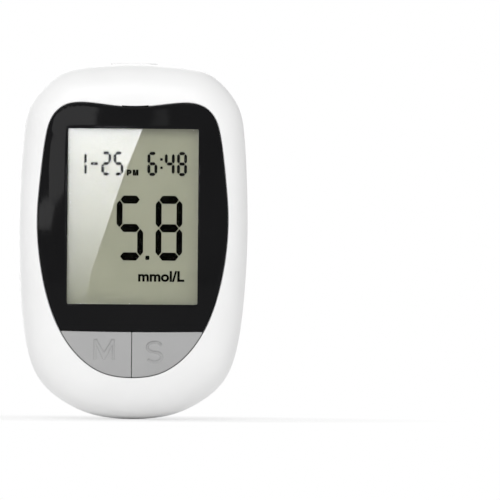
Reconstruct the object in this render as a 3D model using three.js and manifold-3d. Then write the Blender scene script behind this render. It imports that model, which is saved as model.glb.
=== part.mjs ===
// Blood glucose meter: a pebble-shaped handheld meter with a battery door and a strip ejector on its back.
// Millimetres, +Z up along the meter, the display faces -Y. Heights run up from the bottom end, and depths
// run forward from the flat of the back. The origin is on the back, between the battery door and the label.

import * as THREE from 'three';
import { mergeVertices } from 'three/addons/utils/BufferGeometryUtils.js';
import Module from 'manifold-3d';

const wasm = await Module();
wasm.setup();

// Casing
const shellLength = 96;
const shellWidth = 61.9;
const rearDepth = 8.6; // back flat to parting line
const frontDepth = 10.8; // parting line to the edge of the front face
const faceCrown = 1.2; // rise of the front face from its edge to its middle
const shellWall = 1.6;
const partingGroove = 0.25;
const lipThickness = 0.7;
const lipHeight = 1.2;
const lipGap = 0.1;

// Outline of the right half, from the bottom end to the top end: shares of the half width and of the length
const outlineShares = [
  [0, 0],
  [0.29, 0.0085],
  [0.5, 0.032],
  [0.75, 0.0885],
  [0.888, 0.167],
  [0.955, 0.28],
  [0.985, 0.39],
  [1, 0.56],
  [0.966, 0.8],
  [0.915, 0.878],
  [0.8, 0.9333],
  [0.62, 0.9771],
  [0.34, 0.9945],
  [0, 1],
];
const outlineSteps = 60;
const boardOutlineSteps = 42;

// Rounding of the casing's edges: how far in from the outline each face turns flat, and how square it is
const rearRounding = { side: 9, top: 14, bottom: 11 };
const frontRounding = { side: 8, top: 11, bottom: 11 };
const roundPower = 2.6;
const roundSteps = 6;
const hollowSteps = 4;
const faceRingShares = [0.62, 0.3];

// General clearances
const seatGap = 0.1;
const fitGap = 0.15;
const partGap = 0.3;
const overrun = 1;
const cornerSteps = 3;
const curveSteps = 8;
const roundSides = 20;
const screwSides = 12;

// Shield-shaped field of the front: half widths and heights from its lowest point to the dip in its top edge
const shieldSideMargin = 5.3; // casing's side to the shield
const shieldBottom = 11.3;
const shieldTopMargin = 11.95; // dip in the shield's top edge to the casing's top end
const shieldShares = [
  [0, 0],
  [0.31, 0.018],
  [0.589, 0.0894],
  [0.807, 0.213],
  [0.951, 0.3918],
  [1, 0.5732],
  [0.975, 0.7202],
  [0.912, 0.8962],
  [0.842, 0.9677],
  [0.724, 1.0048],
  [0.546, 1.0165],
  [0.28, 1.0075],
  [0, 1],
];
const shieldSteps = 64;
const bezelEdge = 1.1; // flat underside of the bezel below the edge of the front face
const ledgeThickness = 1.2;
const borderRise = 12.75; // line between bezel and buttons above the shield's lowest point
const borderBow = 0.35;
const borderSteps = 6;
const topNotchWidth = 7.1;
const topNotchDepth = 0.25;

// Display
const windowSideMargin = 7.95;
const windowBottomMargin = 6.95;
const windowTopMargin = 5.45;
const windowCorner = 0.8;
const windowSink = 0.85; // face of the window below the middle of the crown
const windowFlange = 1.5;
const windowFlangeThickness = 1;
const lcdMargin = 1.3; // glass beyond the visible window
const lcdGlassThickness = 1.1;
const lcdContactLedge = 3;
const holderWall = 1.4;
const holderGap = 0.3;
const holderShelf = 1.2;
const holderRimDrop = 1.1;
const holderViewMargin = 3;
const zebraThickness = 1.8;
const zebraInset = 0.6;
const zebraEndInset = 2.1;

// Circuit board
const boardDepth = 9.4;
const boardThickness = 1;
const boardInset = 3.2;
const boardHoleGap = 0.4;
const boardPostRadius = 1.6;
const boardPosts = { upperMargin: 6.45, buzzerGap: 6.2, lowerX: 12, lowerHeight: 25.6 };
const chipSize = 9;
const chipThickness = 1.4;
const chipLeadCount = 6;
const chipLeadPitch = 1.2;
const chipLeadWidth = 0.5;
const chipLeadReach = 1;
const chipLeadThickness = 0.4;
const buzzerRadius = 6;
const buzzerThickness = 2.6;
const buzzerPort = 1;
const buzzerPortDepth = 0.6;
const buzzerMargin = 9.95; // casing's side to the middle of the buzzer
const buzzerHeight = 36.2;
const soundHoleRadius = 0.45;
const soundHoles = { upperMargin: 4.95, upperRise: 3.4, lowerMargin: 6.45, lowerDrop: 2.5 };

// Buttons and their switches
const buttonTravel = 0.5;
const buttonSplit = 0.35;
const buttonGap = 0.2;
const buttonFlange = 0.9;
const buttonFlangeThickness = 0.8;
const buttonFlangeDepth = 15.95;
const buttonPostRadius = 1.7;
const switchX = 8.4;
const switchHeight = 18.2;
const switchSize = 6;
const switchBody = 3.4;
const switchStemRadius = 1.7;
const switchStemLength = 1.6;
const switchStemProud = 1;
const switchBore = 1.9;
const switchBoreSpare = 0.2;

// Battery door, cell and well
const doorSideMargin = 12.45;
const doorHeight = 22.8;
const doorSliderGap = 2.9; // door's upper edge to the slider
const doorCentreX = -0.2;
const doorCorner = 5.8;
const doorThickness = 1.4;
const doorGap = 0.25;
const doorRib = 0.4;
const doorRibWidth = 0.8;
const doorRibLength = 12;
const doorRibSpread = 5;
const shelfGap = 0.3;
const shelfThickness = 1.2;
const shelfRim = 1.2;
const cellRadius = 10;
const cellThickness = 3.2;
const cellCapRadius = 8.8;
const cellCapRise = 0.35;
const cellX = -1;
const cellDepth = 2.1;
const cellClearance = 0.4;
const cupWall = 1.2;
const cupSpringSpace = 1.1;
const cupFloor = 1;
const contactThickness = 0.3;
const contactWidth = 4;
const contactGap = 0.3;
const negativeLegX = -7.5;
const negativeTipX = 4.5;
const negativeRise = 0.35;
const positiveTop = 2.7;

// Latch tongue of the door and its pocket
const latchRise = 8.3; // notch above the door's lower edge
const latchHeight = 6.9;
const latchNotch = 2.2; // depth of the notch in the door's edge
const tongueThickness = 0.8;
const tongueSpan = 3.1; // centre to centre of the tongue's two arms
const tongueStraight = 2.8;
const tongueTop = 0.4;
const tongueLip = 0.7;
const tongueBendSteps = 6;
const latchPocketGap = 0.4;
const latchPocketDepth = 5.2;
const scoopReach = 4.2;
const scoopDepth = 0.9;
const scoopHeight = 6.3;

// Hinge tabs of the door
const tabWidth = 2.6;
const tabSpread = 7.2; // centre to centre
const tabReach = 1.6;
const tabThickness = 0.8;
const tabRoot = 1.4;
const tabPocketGap = 0.35;
const tabSwing = 3.6;
const tabPocketInner = 3.5;
const tabPocketOuter = 2.2;
const pocketWall = 1;

// Ejector slider, carriage and spring
const sliderWidth = 11.7;
const sliderDrop = 24.8; // slider's lower edge below the casing's top end
const sliderLength = 16.7;
const sliderCorner = 2.5;
const sliderTopCorner = 1.3;
const sliderTopBow = 0.5;
const sliderPlateDepth = 0.55;
const sliderPlate = 0.7;
const sliderGap = 0.3;
const sliderTravel = 5;
const ribCount = 8;
const ribPitch = 1.59;
const ribWidth = 8.15;
const ribThickness = 0.75;
const ribRise = 0.45;
const ribFirst = 2.95; // lowest rib above the slider's lower edge
const channelPad = 1.2;
const stemWidth = 5.2;
const stemHeight = 5;
const stemRise = 2.3; // stem above the slider's lower edge
const pegRadius = 1.5;
const pegHeadRadius = 1.9;
const pegHead = 0.45;
const carriageWidth = 10;
const carriageHeight = 9.8;
const carriageThickness = 1.2;
const carriageRise = 1.3;
const fingerWidth = 2;
const fingerThickness = 1.5;
const fingerTipDepth = 8.3;
const fingerRise = 8.7;
const railWidth = 1;
const railHeight = 2;
const springRadius = 1.2;
const springWire = 0.36;
const springTurns = 5;
const springStepsPerTurn = 8;
const springSides = 5;
const springLength = 7.2;
const springDepth = 4.5;
const springRestWidth = 4;
const springRestThickness = 1.1;
const springNoseRadius = 0.8;
const springNoseLength = 1.6;

// Strip port and connector
const stripDepth = 8; // middle of the strip slot
const portWidth = 12.7;
const portThickness = 4.2;
const portCorner = 1.4;
const portProud = 0.5;
const portFlange = 1.2;
const portFlangeThickness = 0.9;
const portFlangeSink = 2.4;
const portMouthWidth = 9.3;
const portMouth = 2;
const portMouthDepth = 1.2;
const stripWidth = 6.8;
const stripThickness = 1;
const connectorWidth = 10.4;
const connectorLength = 13.4;
const connectorTopDrop = 3.1;
const connectorDepth = 6.4;
const connectorStop = 2.6;
const fingerSlotLength = 7.6;
const stripContactCount = 5;
const stripContactPitch = 1.2;
const stripContactWidth = 0.5;
const stripContactThickness = 0.25;
const stripContactTail = 1.3; // reach of a contact's tail on each side of the connector's lower end
const stripContactRamp = 2.6;
const stripContactBump = 2.6; // bump below the connector's top
const stripContactTip = 0.65;
const stripGrooveGap = 0.12;
const stripGrooveEnd = 1.3;

// Screws
const screwUpper = { sideMargin: 5.85, topMargin: 20.5 };
const screwLower = { height: 16, flangeGap: 2.2 };
const wellRadius = 2.6;
const wellDepth = 4.2;
const bossWall = 1.1;
const screwHeadRadius = 2;
const screwHead = 1.3;
const screwHeadDome = 0.35;
const screwCrownRadius = 1.6;
const screwShank = 1;
const screwLength = 8;
const screwHole = 1.15;
const screwSink = 0.6;
const frontBossRadius = 2.6;

// Label
const labelWidth = 31.6;
const labelBottom = 23.1;
const labelDoorGap = 2.7;
const labelX = -0.2;
const labelCorner = 0.6;
const labelThickness = 0.15;
const labelRecess = 0.25;
const labelGap = 0.2;

// Thumb valley: an arc round the middle of the door, deepest at the slider and running out at both sides
const valleyRadius = 24.6;
const valleyHalfWidth = 3.7;
const valleyDepth = 0.8;
const valleyRoof = 1;
const valleyTiltDegrees = 4.3;
const valleySteps = 48;
const valleyArcSteps = 6;

const mountGap = 1.3; // origin below the door's lower edge

const white = { color: 0xf1f1ef, roughness: 0.35, metalness: 0 };
const black = { color: 0x17181a, roughness: 0.3, metalness: 0 };
const grey = { color: 0xb4b5b5, roughness: 0.5, metalness: 0 };
const clear = { color: 0xdfe6e4, roughness: 0.05, metalness: 0, transparent: true, opacity: 0.35 };
const glass = { color: 0x9ba08c, roughness: 0.2, metalness: 0 };
const steel = { color: 0xc9ccce, roughness: 0.3, metalness: 1 };
const gold = { color: 0xd4b062, roughness: 0.3, metalness: 1 };
const boardGreen = { color: 0x1f6b3a, roughness: 0.5, metalness: 0 };
const foil = { color: 0xc4c5c6, roughness: 0.45, metalness: 0.3 };
const rubber = { color: 0x3a3a3c, roughness: 0.8, metalness: 0 };

// A closed geometry as a solid that can be cut and joined
function solid(geometry) {
  const bare = geometry.clone();
  bare.deleteAttribute('normal');
  bare.deleteAttribute('uv');
  const merged = mergeVertices(bare);
  const vertProperties = new Float32Array(merged.attributes.position.array);
  const triVerts = new Uint32Array(merged.index.array);
  return new wasm.Manifold(new wasm.Mesh({ numProp: 3, vertProperties, triVerts }));
}

function joined(solids) {
  return solids.reduce((all, next) => all.add(next));
}

// An outline in x and height, pushed from one depth to a greater one
function prism(shape, near, far, curveSegments = cornerSteps) {
  const depth = far - near;
  const geometry = new THREE.ExtrudeGeometry(shape, { depth, bevelEnabled: false, curveSegments });
  geometry.rotateX(Math.PI / 2);
  geometry.translate(0, -near, 0);
  return solid(geometry);
}

// An outline in x and y, pushed up from one height to another
function column(shape, low, high) {
  const settings = { depth: high - low, bevelEnabled: false, curveSegments: cornerSteps };
  const geometry = new THREE.ExtrudeGeometry(shape, settings);
  geometry.translate(0, 0, low);
  return solid(geometry);
}

// An outline in y and height, pushed along x
function sideways(shape, left, right) {
  const depth = right - left;
  const geometry = new THREE.ExtrudeGeometry(shape, { depth, bevelEnabled: false });
  const turn = new THREE.Matrix4().makeBasis(
    new THREE.Vector3(0, 1, 0),
    new THREE.Vector3(0, 0, 1),
    new THREE.Vector3(1, 0, 0),
  );
  geometry.applyMatrix4(turn);
  geometry.translate(left, 0, 0);
  return solid(geometry);
}

function block(left, right, near, far, low, high) {
  const geometry = new THREE.BoxGeometry(right - left, far - near, high - low);
  geometry.translate((left + right) / 2, -(near + far) / 2, (low + high) / 2);
  return solid(geometry);
}

// A round bar through the casing's depth
function rod(x, height, radius, near, far) {
  const geometry = new THREE.CylinderGeometry(radius, radius, far - near, roundSides);
  geometry.translate(x, -(near + far) / 2, height);
  return solid(geometry);
}

// A turned piece on an axis through the casing's depth: its profile runs from the axis out and back, as
// radius and depth
function turned(x, height, profile, sides = roundSides) {
  const points = profile.map(([radius, depth]) => new THREE.Vector2(radius, -depth));
  const geometry = new THREE.LatheGeometry(points, sides);
  geometry.translate(x, 0, height);
  return solid(geometry);
}

function roundedRect(left, right, low, high, corner) {
  const shape = new THREE.Shape();
  shape.moveTo(left + corner, low);
  shape.lineTo(right - corner, low);
  shape.absarc(right - corner, low + corner, corner, -Math.PI / 2, 0);
  shape.lineTo(right, high - corner);
  shape.absarc(right - corner, high - corner, corner, 0, Math.PI / 2);
  shape.lineTo(left + corner, high);
  shape.absarc(left + corner, high - corner, corner, Math.PI / 2, Math.PI);
  shape.lineTo(left, low + corner);
  shape.absarc(left + corner, low + corner, corner, Math.PI, Math.PI * 1.5);
  return shape;
}

// The outline of a strip of even thickness bent along a path
function bentStrip(path, thickness) {
  const half = thickness / 2;
  const sides = path.map((point, i) => {
    const before = point.clone().sub(path[Math.max(i - 1, 0)]);
    const after = path[Math.min(i + 1, path.length - 1)].clone().sub(point);
    const first = (i > 0 ? before : after).clone().normalize();
    const second = (i < path.length - 1 ? after : before).clone().normalize();
    const along = first.clone().add(second).normalize();
    const across = new THREE.Vector2(-along.y, along.x).multiplyScalar(half / along.dot(first));
    return [point.clone().add(across), point.clone().sub(across)];
  });
  const left = sides.map((side) => side[0]);
  const right = sides.map((side) => side[1]).reverse();
  return new THREE.Shape([...left, ...right]);
}

// A smooth closed outline, symmetric about the centre line, sampled evenly with its outward normals
function symmetricOutline(halfPoints, steps) {
  const right = halfPoints.map(([x, height]) => new THREE.Vector3(x, height, 0));
  const left = right
    .slice(1, -1)
    .reverse()
    .map((point) => new THREE.Vector3(-point.x, point.y, 0));
  const curve = new THREE.CatmullRomCurve3([...right, ...left], true, 'centripetal');
  const points = [];
  for (let i = 0; i < steps; i += 1) {
    const share = i / steps;
    const point = curve.getPointAt(share);
    const tangent = curve.getTangentAt(share);
    points.push({ x: point.x, height: point.y, normalX: tangent.y, normalUp: -tangent.x });
  }
  return points;
}

function outlineOf(halfWidth, bottom, length, shares, steps) {
  const half = shares.map(([across, up]) => [across * halfWidth, bottom + up * length]);
  return symmetricOutline(half, steps);
}

// An outline moved outwards along its normals
function grown(outline, distance) {
  const points = outline.map(
    (p) => new THREE.Vector2(p.x + p.normalX * distance, p.height + p.normalUp * distance),
  );
  return new THREE.Shape(points);
}

// Half width of an outline at a height
function halfWidthAt(outline, height) {
  for (let i = 1; i < outline.length; i += 1) {
    const [before, after] = [outline[i - 1], outline[i]];
    if (before.height <= height && after.height > height) {
      const share = (height - before.height) / (after.height - before.height);
      return Math.abs(before.x + share * (after.x - before.x));
    }
  }
  return 0;
}

const halfWidth = shellWidth / 2;
const midHeight = shellLength / 2;
const faceDepth = rearDepth + frontDepth;
const casing = outlineOf(halfWidth, 0, shellLength, outlineShares, outlineSteps);
const boardCasing = outlineOf(halfWidth, 0, shellLength, outlineShares, boardOutlineSteps);

// How much of the outline's size is left at a point that lies an inset inside it
function scaleAt(point, inset) {
  const reach = point.x * point.normalX + (point.height - midHeight) * point.normalUp;
  return 1 - inset / reach;
}

function roundingAt(point, rounding) {
  const up = Math.max(point.normalUp, 0) ** 2;
  const down = Math.max(-point.normalUp, 0) ** 2;
  return rounding.side + (rounding.top - rounding.side) * up + (rounding.bottom - rounding.side) * down;
}

// A ring of points inside the casing's outline
function ring(insetOf, depthOf) {
  return casing.map((point) => {
    const scale = scaleAt(point, insetOf(point));
    const height = midHeight + (point.height - midHeight) * scale;
    return new THREE.Vector3(point.x * scale, -depthOf(scale), height);
  });
}

// The closed skin over a stack of rings, with a point in the middle of each end
function skin(rings, firstMiddle, lastMiddle) {
  const count = rings[0].length;
  const points = [...rings.flat(), firstMiddle, lastMiddle];
  const firstIndex = rings.length * count;
  const faces = [];
  for (let i = 0; i < count; i += 1) {
    const next = (i + 1) % count;
    faces.push([firstIndex, next, i]);
    for (let r = 0; r + 1 < rings.length; r += 1) {
      const here = r * count;
      const there = here + count;
      faces.push([here + i, here + next, there + next], [here + i, there + next, there + i]);
    }
    const last = (rings.length - 1) * count;
    faces.push([last + i, last + next, firstIndex + 1]);
  }
  let volume = 0;
  for (const [a, b, c] of faces) {
    volume += points[a].dot(points[b].clone().cross(points[c]));
  }
  const facing = volume < 0 ? faces.map(([a, b, c]) => [a, c, b]) : faces;
  const geometry = new THREE.BufferGeometry().setFromPoints(points);
  geometry.setIndex(facing.flat());
  return solid(geometry);
}

// Half of a pebble, from the parting line to a face. A margin makes the hollow inside it, and a lead runs it
// on past the parting line.
function pebbleHalf(form) {
  const { start, end, rounding, steps = roundSteps, margin = 0, crown = 0, lead = 0, groove = 0 } = form;
  const away = Math.sign(start - end);
  const rings = [];
  if (lead > 0) {
    rings.push(ring(() => margin, () => start + away * lead));
  }
  if (groove > 0) {
    rings.push(ring(() => groove, () => start));
  }
  for (let k = 0; k <= steps; k += 1) {
    const angle = ((k / steps) * Math.PI) / 2;
    const across = 1 - Math.cos(angle) ** (2 / roundPower);
    const along = Math.sin(angle) ** (2 / roundPower);
    const grooveStep = k === 0 ? -away * groove : 0;
    rings.push(
      ring(
        (point) => margin + across * roundingAt(point, rounding),
        (scale) => start + grooveStep + along * (end - start + crown * (1 - scale ** 2)),
      ),
    );
  }
  const edge = rings[rings.length - 1];
  if (crown > 0) {
    for (const share of faceRingShares) {
      rings.push(
        edge.map((point, i) => {
          const scale = scaleAt(casing[i], margin + roundingAt(casing[i], rounding)) * share;
          const height = midHeight + (point.z - midHeight) * share;
          return new THREE.Vector3(point.x * share, -(end + crown * (1 - scale ** 2)), height);
        }),
      );
    }
  }
  const startDepth = start + (lead > 0 ? away * lead : 0);
  const firstMiddle = new THREE.Vector3(0, -startDepth, midHeight);
  const lastMiddle = new THREE.Vector3(0, -(end + crown), midHeight);
  return skin(rings, firstMiddle, lastMiddle);
}

function casingPlate(inset, near, far, outline = casing) {
  const points = outline.map((point) => {
    const scale = scaleAt(point, inset);
    return new THREE.Vector2(point.x * scale, midHeight + (point.height - midHeight) * scale);
  });
  return prism(new THREE.Shape(points), near, far);
}

const frontOuter = pebbleHalf({
  start: rearDepth,
  end: faceDepth,
  rounding: frontRounding,
  crown: faceCrown,
  groove: partingGroove,
});
const rearOuter = pebbleHalf({ start: rearDepth, end: 0, rounding: rearRounding });

// The bezel's underside, the ledge that it lies on, and the inside of the front shell behind it
const bezelBack = faceDepth - bezelEdge;
const ledgeFront = bezelBack - seatGap;
const innerFaceDepth = ledgeFront - ledgeThickness;
const shieldHalfWidth = halfWidth - shieldSideMargin;
const shieldTop = shellLength - shieldTopMargin;
const shieldLength = shieldTop - shieldBottom;
const shield = outlineOf(shieldHalfWidth, shieldBottom, shieldLength, shieldShares, shieldSteps);
const borderHeight = shieldBottom + borderRise;
const frontMost = faceDepth + faceCrown + overrun;

// The lower screws pass beside the buttons, the upper ones stand in the casing's corners
const upperX = halfWidth - screwUpper.sideMargin;
const upperHeight = shellLength - screwUpper.topMargin;
const keysHalf = halfWidthAt(shield, screwLower.height) + buttonFlange;
const lowerX = keysHalf + screwLower.flangeGap + frontBossRadius;
const screwPlaces = [
  [-upperX, upperHeight],
  [upperX, upperHeight],
  [-lowerX, screwLower.height],
  [lowerX, screwLower.height],
];

// The region on one side of the bowed line between bezel and buttons
function borderRegion(offset, above) {
  const reach = shieldHalfWidth + overrun;
  const limit = above ? shieldTop + shieldLength : -shieldLength;
  const points = [new THREE.Vector2(-reach, limit), new THREE.Vector2(reach, limit)];
  for (let i = 0; i <= borderSteps; i += 1) {
    const across = 1 - (2 * i) / borderSteps;
    const bow = borderBow * (1 - across ** 2);
    points.push(new THREE.Vector2(reach * across, borderHeight + offset - bow));
  }
  return prism(new THREE.Shape(points), 0, frontMost);
}

function shieldPrism(growth, near = rearDepth) {
  return prism(grown(shield, growth), near, frontMost);
}

function topNotch(gap) {
  const half = topNotchWidth / 2 - gap;
  return block(-half, half, 0, frontMost, shieldTop - topNotchDepth + gap, shieldTop + shieldLength);
}

const windowBottom = borderHeight + windowBottomMargin;
const windowTop = shieldTop - windowTopMargin;
const windowHalf = shieldHalfWidth - windowSideMargin;
const windowFace = faceDepth + faceCrown - windowSink;
const flangeFront = bezelBack - seatGap;
const flangeBack = flangeFront - windowFlangeThickness;
const stripTop = shellLength + portProud;

// The four sides of the window's flange, or of the hole round it
function flangeRect(extra) {
  const reach = windowFlange + extra;
  return roundedRect(
    -windowHalf - reach,
    windowHalf + reach,
    windowBottom - reach,
    windowTop + reach,
    windowCorner + extra,
  );
}

function portShape(extra) {
  return roundedRect(
    -portWidth / 2 - extra,
    portWidth / 2 + extra,
    -stripDepth - portThickness / 2 - extra,
    -stripDepth + portThickness / 2 + extra,
    portCorner + extra,
  );
}

function portHole() {
  return column(portShape(fitGap), shellLength - portFlangeSink - overrun, stripTop + overrun);
}

// Room for the port's flange behind the wall
function portFlangeRoom() {
  const top = shellLength - portFlangeSink + portFlangeThickness + fitGap;
  return column(portShape(portFlange + fitGap), shellLength - portFlangeSink - portFlangeThickness, top);
}

function frontShell() {
  const hollow = pebbleHalf({
    start: rearDepth,
    end: innerFaceDepth,
    rounding: frontRounding,
    steps: hollowSteps,
    margin: shellWall,
    lead: overrun,
  });
  const rebateInset = shellWall - lipThickness - lipGap;
  const rebate = casingPlate(rebateInset, rearDepth - overrun, rearDepth + lipHeight + lipGap);
  const bosses = screwPlaces.map(([x, height]) =>
    rod(x, height, frontBossRadius, rearDepth + seatGap, innerFaceDepth + ledgeThickness / 2),
  );
  const pilots = screwPlaces.map(([x, height]) =>
    rod(x, height, screwHole, 0, wellDepth + screwLength + screwSink + seatGap),
  );
  const bezelRecess = shieldPrism(fitGap, ledgeFront)
    .intersect(borderRegion(-buttonGap, true))
    .subtract(topNotch(0));
  const buttonHole = shieldPrism(fitGap).intersect(borderRegion(0, false));
  const windowHole = prism(flangeRect(fitGap), rearDepth, frontMost);
  return joined([frontOuter.subtract(hollow).subtract(rebate), ...bosses])
    .subtract(joined(pilots))
    .subtract(bezelRecess)
    .subtract(buttonHole)
    .subtract(windowHole)
    .subtract(portHole())
    .subtract(portFlangeRoom());
}

function displayBezel() {
  const opening = roundedRect(-windowHalf, windowHalf, windowBottom, windowTop, windowCorner);
  return shieldPrism(0, bezelBack)
    .intersect(borderRegion(0, true))
    .intersect(frontOuter)
    .subtract(topNotch(-fitGap))
    .subtract(prism(opening, 0, frontMost));
}

function displayWindow() {
  const raised = roundedRect(
    -windowHalf + fitGap,
    windowHalf - fitGap,
    windowBottom + fitGap,
    windowTop - fitGap,
    windowCorner,
  );
  return prism(flangeRect(0), flangeBack, flangeFront).add(prism(raised, flangeBack, windowFace));
}

// Display cell: the front glass reaches lower than the rear one and carries the contacts
const lcdFront = flangeBack - partGap;
const lcdMiddle = lcdFront - lcdGlassThickness;
const lcdBack = lcdMiddle - lcdGlassThickness;
const lcdHalf = windowHalf + lcdMargin;
const lcdBottom = windowBottom - lcdMargin;
const lcdTop = windowTop + lcdMargin;

function lcdCell() {
  const front = block(-lcdHalf, lcdHalf, lcdMiddle, lcdFront, lcdBottom, lcdTop);
  return front.add(block(-lcdHalf, lcdHalf, lcdBack, lcdMiddle, lcdBottom + lcdContactLedge, lcdTop));
}

const boardFront = boardDepth + boardThickness;
const zebraBottom = lcdBottom + zebraInset;
const zebraHalf = lcdHalf - zebraEndInset;

function lcdHolder() {
  const reach = lcdHalf + holderGap + holderWall;
  const low = lcdBottom - holderGap - holderWall;
  const high = lcdTop + holderGap + holderWall;
  const top = lcdFront - holderRimDrop;
  const shelfTop = lcdBack - seatGap;
  const shelfBottom = shelfTop - holderShelf;
  const inner = lcdHalf + holderGap;
  const outer = prism(roundedRect(-reach, reach, low, high, holderWall), boardFront + seatGap, top);
  const pocket = block(-inner, inner, shelfTop, top + overrun, lcdBottom - holderGap, lcdTop + holderGap);
  const under = block(-inner, inner, boardDepth, shelfBottom, lcdBottom - holderGap, lcdTop + holderGap);
  const viewHalf = lcdHalf - holderViewMargin;
  const viewLow = zebraBottom + zebraThickness + holderViewMargin;
  const view = block(-viewHalf, viewHalf, boardDepth, top, viewLow, lcdTop - holderViewMargin);
  const slotHalf = zebraHalf + fitGap;
  const slotTop = zebraBottom + zebraThickness + fitGap;
  const slot = block(-slotHalf, slotHalf, boardDepth, top, zebraBottom - fitGap, slotTop);
  return outer.subtract(pocket).subtract(under).subtract(view).subtract(slot);
}

function zebraConnector() {
  const back = boardFront + seatGap;
  return block(-zebraHalf, zebraHalf, back, lcdMiddle - seatGap, zebraBottom, zebraBottom + zebraThickness);
}

// Buttons: a cap flush with the face, a flange behind the wall and a post over the switch
const switchFront = boardFront + seatGap + switchBody;
const stemTip = switchFront + switchStemProud;

function button(side) {
  const outerX = shieldHalfWidth + overrun;
  const near = side * (buttonSplit / 2);
  const far = side * outerX;
  const flangeFar = buttonFlangeDepth + buttonFlangeThickness;
  const left = Math.min(near, far);
  const right = Math.max(near, far);
  const half = block(left, right, buttonFlangeDepth, frontMost, 0, borderHeight + overrun);
  const cap = shieldPrism(-buttonGap + fitGap).intersect(half).intersect(borderRegion(-buttonGap, false));
  const flangeHalf = block(left, right, buttonFlangeDepth, flangeFar, 0, borderHeight + overrun);
  const flange = shieldPrism(buttonFlange).intersect(flangeHalf).intersect(borderRegion(buttonFlange, false));
  const post = rod(side * switchX, switchHeight, buttonPostRadius, stemTip + seatGap, flangeFar);
  return cap.intersect(frontOuter).add(flange).add(post);
}

function tactSwitch(side) {
  const reach = switchSize / 2;
  const x = side * switchX;
  const low = switchHeight - reach;
  const body = block(x - reach, x + reach, boardFront + seatGap, switchFront, low, low + switchSize);
  const boreDepth = switchStemLength - switchStemProud + buttonTravel + switchBoreSpare;
  return body.subtract(rod(x, switchHeight, switchBore, switchFront - boreDepth, switchFront + overrun));
}

function switchStem(side) {
  return rod(side * switchX, switchHeight, switchStemRadius, stemTip - switchStemLength, stemTip);
}

// Circuit board, cut clear of the front bosses
function circuitBoard() {
  const plate = casingPlate(boardInset, boardDepth, boardFront, boardCasing);
  const holes = screwPlaces.map(([x, height]) =>
    rod(x, height, frontBossRadius + boardHoleGap, boardDepth - overrun, boardFront + overrun),
  );
  return plate.subtract(joined(holes));
}

function mainChip() {
  const reach = chipSize / 2;
  const chipHeight = (windowBottom + windowTop) / 2;
  const near = boardFront + seatGap;
  const pieces = [block(-reach, reach, near, near + chipThickness, chipHeight - reach, chipHeight + reach)];
  const leadSpan = reach + chipLeadReach;
  const leadFar = near + chipLeadThickness;
  for (let i = 0; i < chipLeadCount; i += 1) {
    const along = (i - (chipLeadCount - 1) / 2) * chipLeadPitch;
    const low = along - chipLeadWidth / 2;
    const high = along + chipLeadWidth / 2;
    pieces.push(block(-leadSpan, leadSpan, near, leadFar, chipHeight + low, chipHeight + high));
    pieces.push(block(low, high, near, leadFar, chipHeight - leadSpan, chipHeight + leadSpan));
  }
  return joined(pieces);
}

function buzzer() {
  const back = boardDepth - seatGap;
  const top = back - buzzerThickness;
  return turned(halfWidth - buzzerMargin, buzzerHeight, [
    [0, back],
    [buzzerRadius, back],
    [buzzerRadius, top],
    [buzzerPort, top],
    [buzzerPort, top + buzzerPortDepth],
    [0, top + buzzerPortDepth],
  ]);
}

// Battery well: a shelf under the door, a cup for the cell and pockets for the latch and the two tabs
const sliderBottom = shellLength - sliderDrop;
const doorTop = sliderBottom - doorSliderGap;
const doorBottom = doorTop - doorHeight;
const doorLeft = doorCentreX - halfWidth + doorSideMargin;
const doorRight = doorCentreX + halfWidth - doorSideMargin;
const doorMiddle = doorBottom + doorHeight / 2;
const shelfDepth = doorThickness + shelfGap;
const shelfBack = shelfDepth + shelfThickness;
const cupRadius = cellRadius + cellClearance;
const cupFloorDepth = cellDepth + cellThickness + cupSpringSpace;
const latchBottom = doorBottom + latchRise;
const latchTop = latchBottom + latchHeight;
const notchX = doorRight - latchNotch;
const tongueInnerX = notchX - tongueThickness / 2;
const tongueOuterX = tongueInnerX + tongueSpan;
const tongueTipX = tongueOuterX + tongueThickness / 2 + tongueLip;
const pocketLeft = tongueInnerX - tongueThickness / 2 - latchPocketGap;
const pocketRight = tongueTipX + latchPocketGap;
const tabPlaces = [doorMiddle - tabSpread / 2, doorMiddle + tabSpread / 2];
const tabFront = shellWall + doorGap;
const tabBack = tabFront + tabThickness;
const contactHalf = contactWidth / 2;

function doorShape(extra) {
  return roundedRect(
    doorLeft - extra,
    doorRight + extra,
    doorBottom - extra,
    doorTop + extra,
    doorCorner + extra,
  );
}

function wellWalls() {
  const shelf = prism(doorShape(doorGap + shelfRim), shellWall / 2, shelfBack);
  const cup = rod(cellX, doorMiddle, cupRadius + cupWall, shelfDepth, cupFloorDepth + cupFloor);
  const latch = block(
    pocketLeft - pocketWall,
    pocketRight + pocketWall,
    shellWall / 2,
    latchPocketDepth + pocketWall,
    latchBottom - pocketWall,
    latchTop + pocketWall,
  );
  const tabs = tabPlaces.map((height) =>
    block(
      doorLeft - tabPocketOuter - pocketWall,
      doorLeft + tabPocketInner + pocketWall,
      shellWall / 2,
      tabSwing + pocketWall,
      height - tabWidth / 2 - tabPocketGap - pocketWall,
      height + tabWidth / 2 + tabPocketGap + pocketWall,
    ),
  );
  return joined([shelf, cup, latch, ...tabs]);
}

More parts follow.
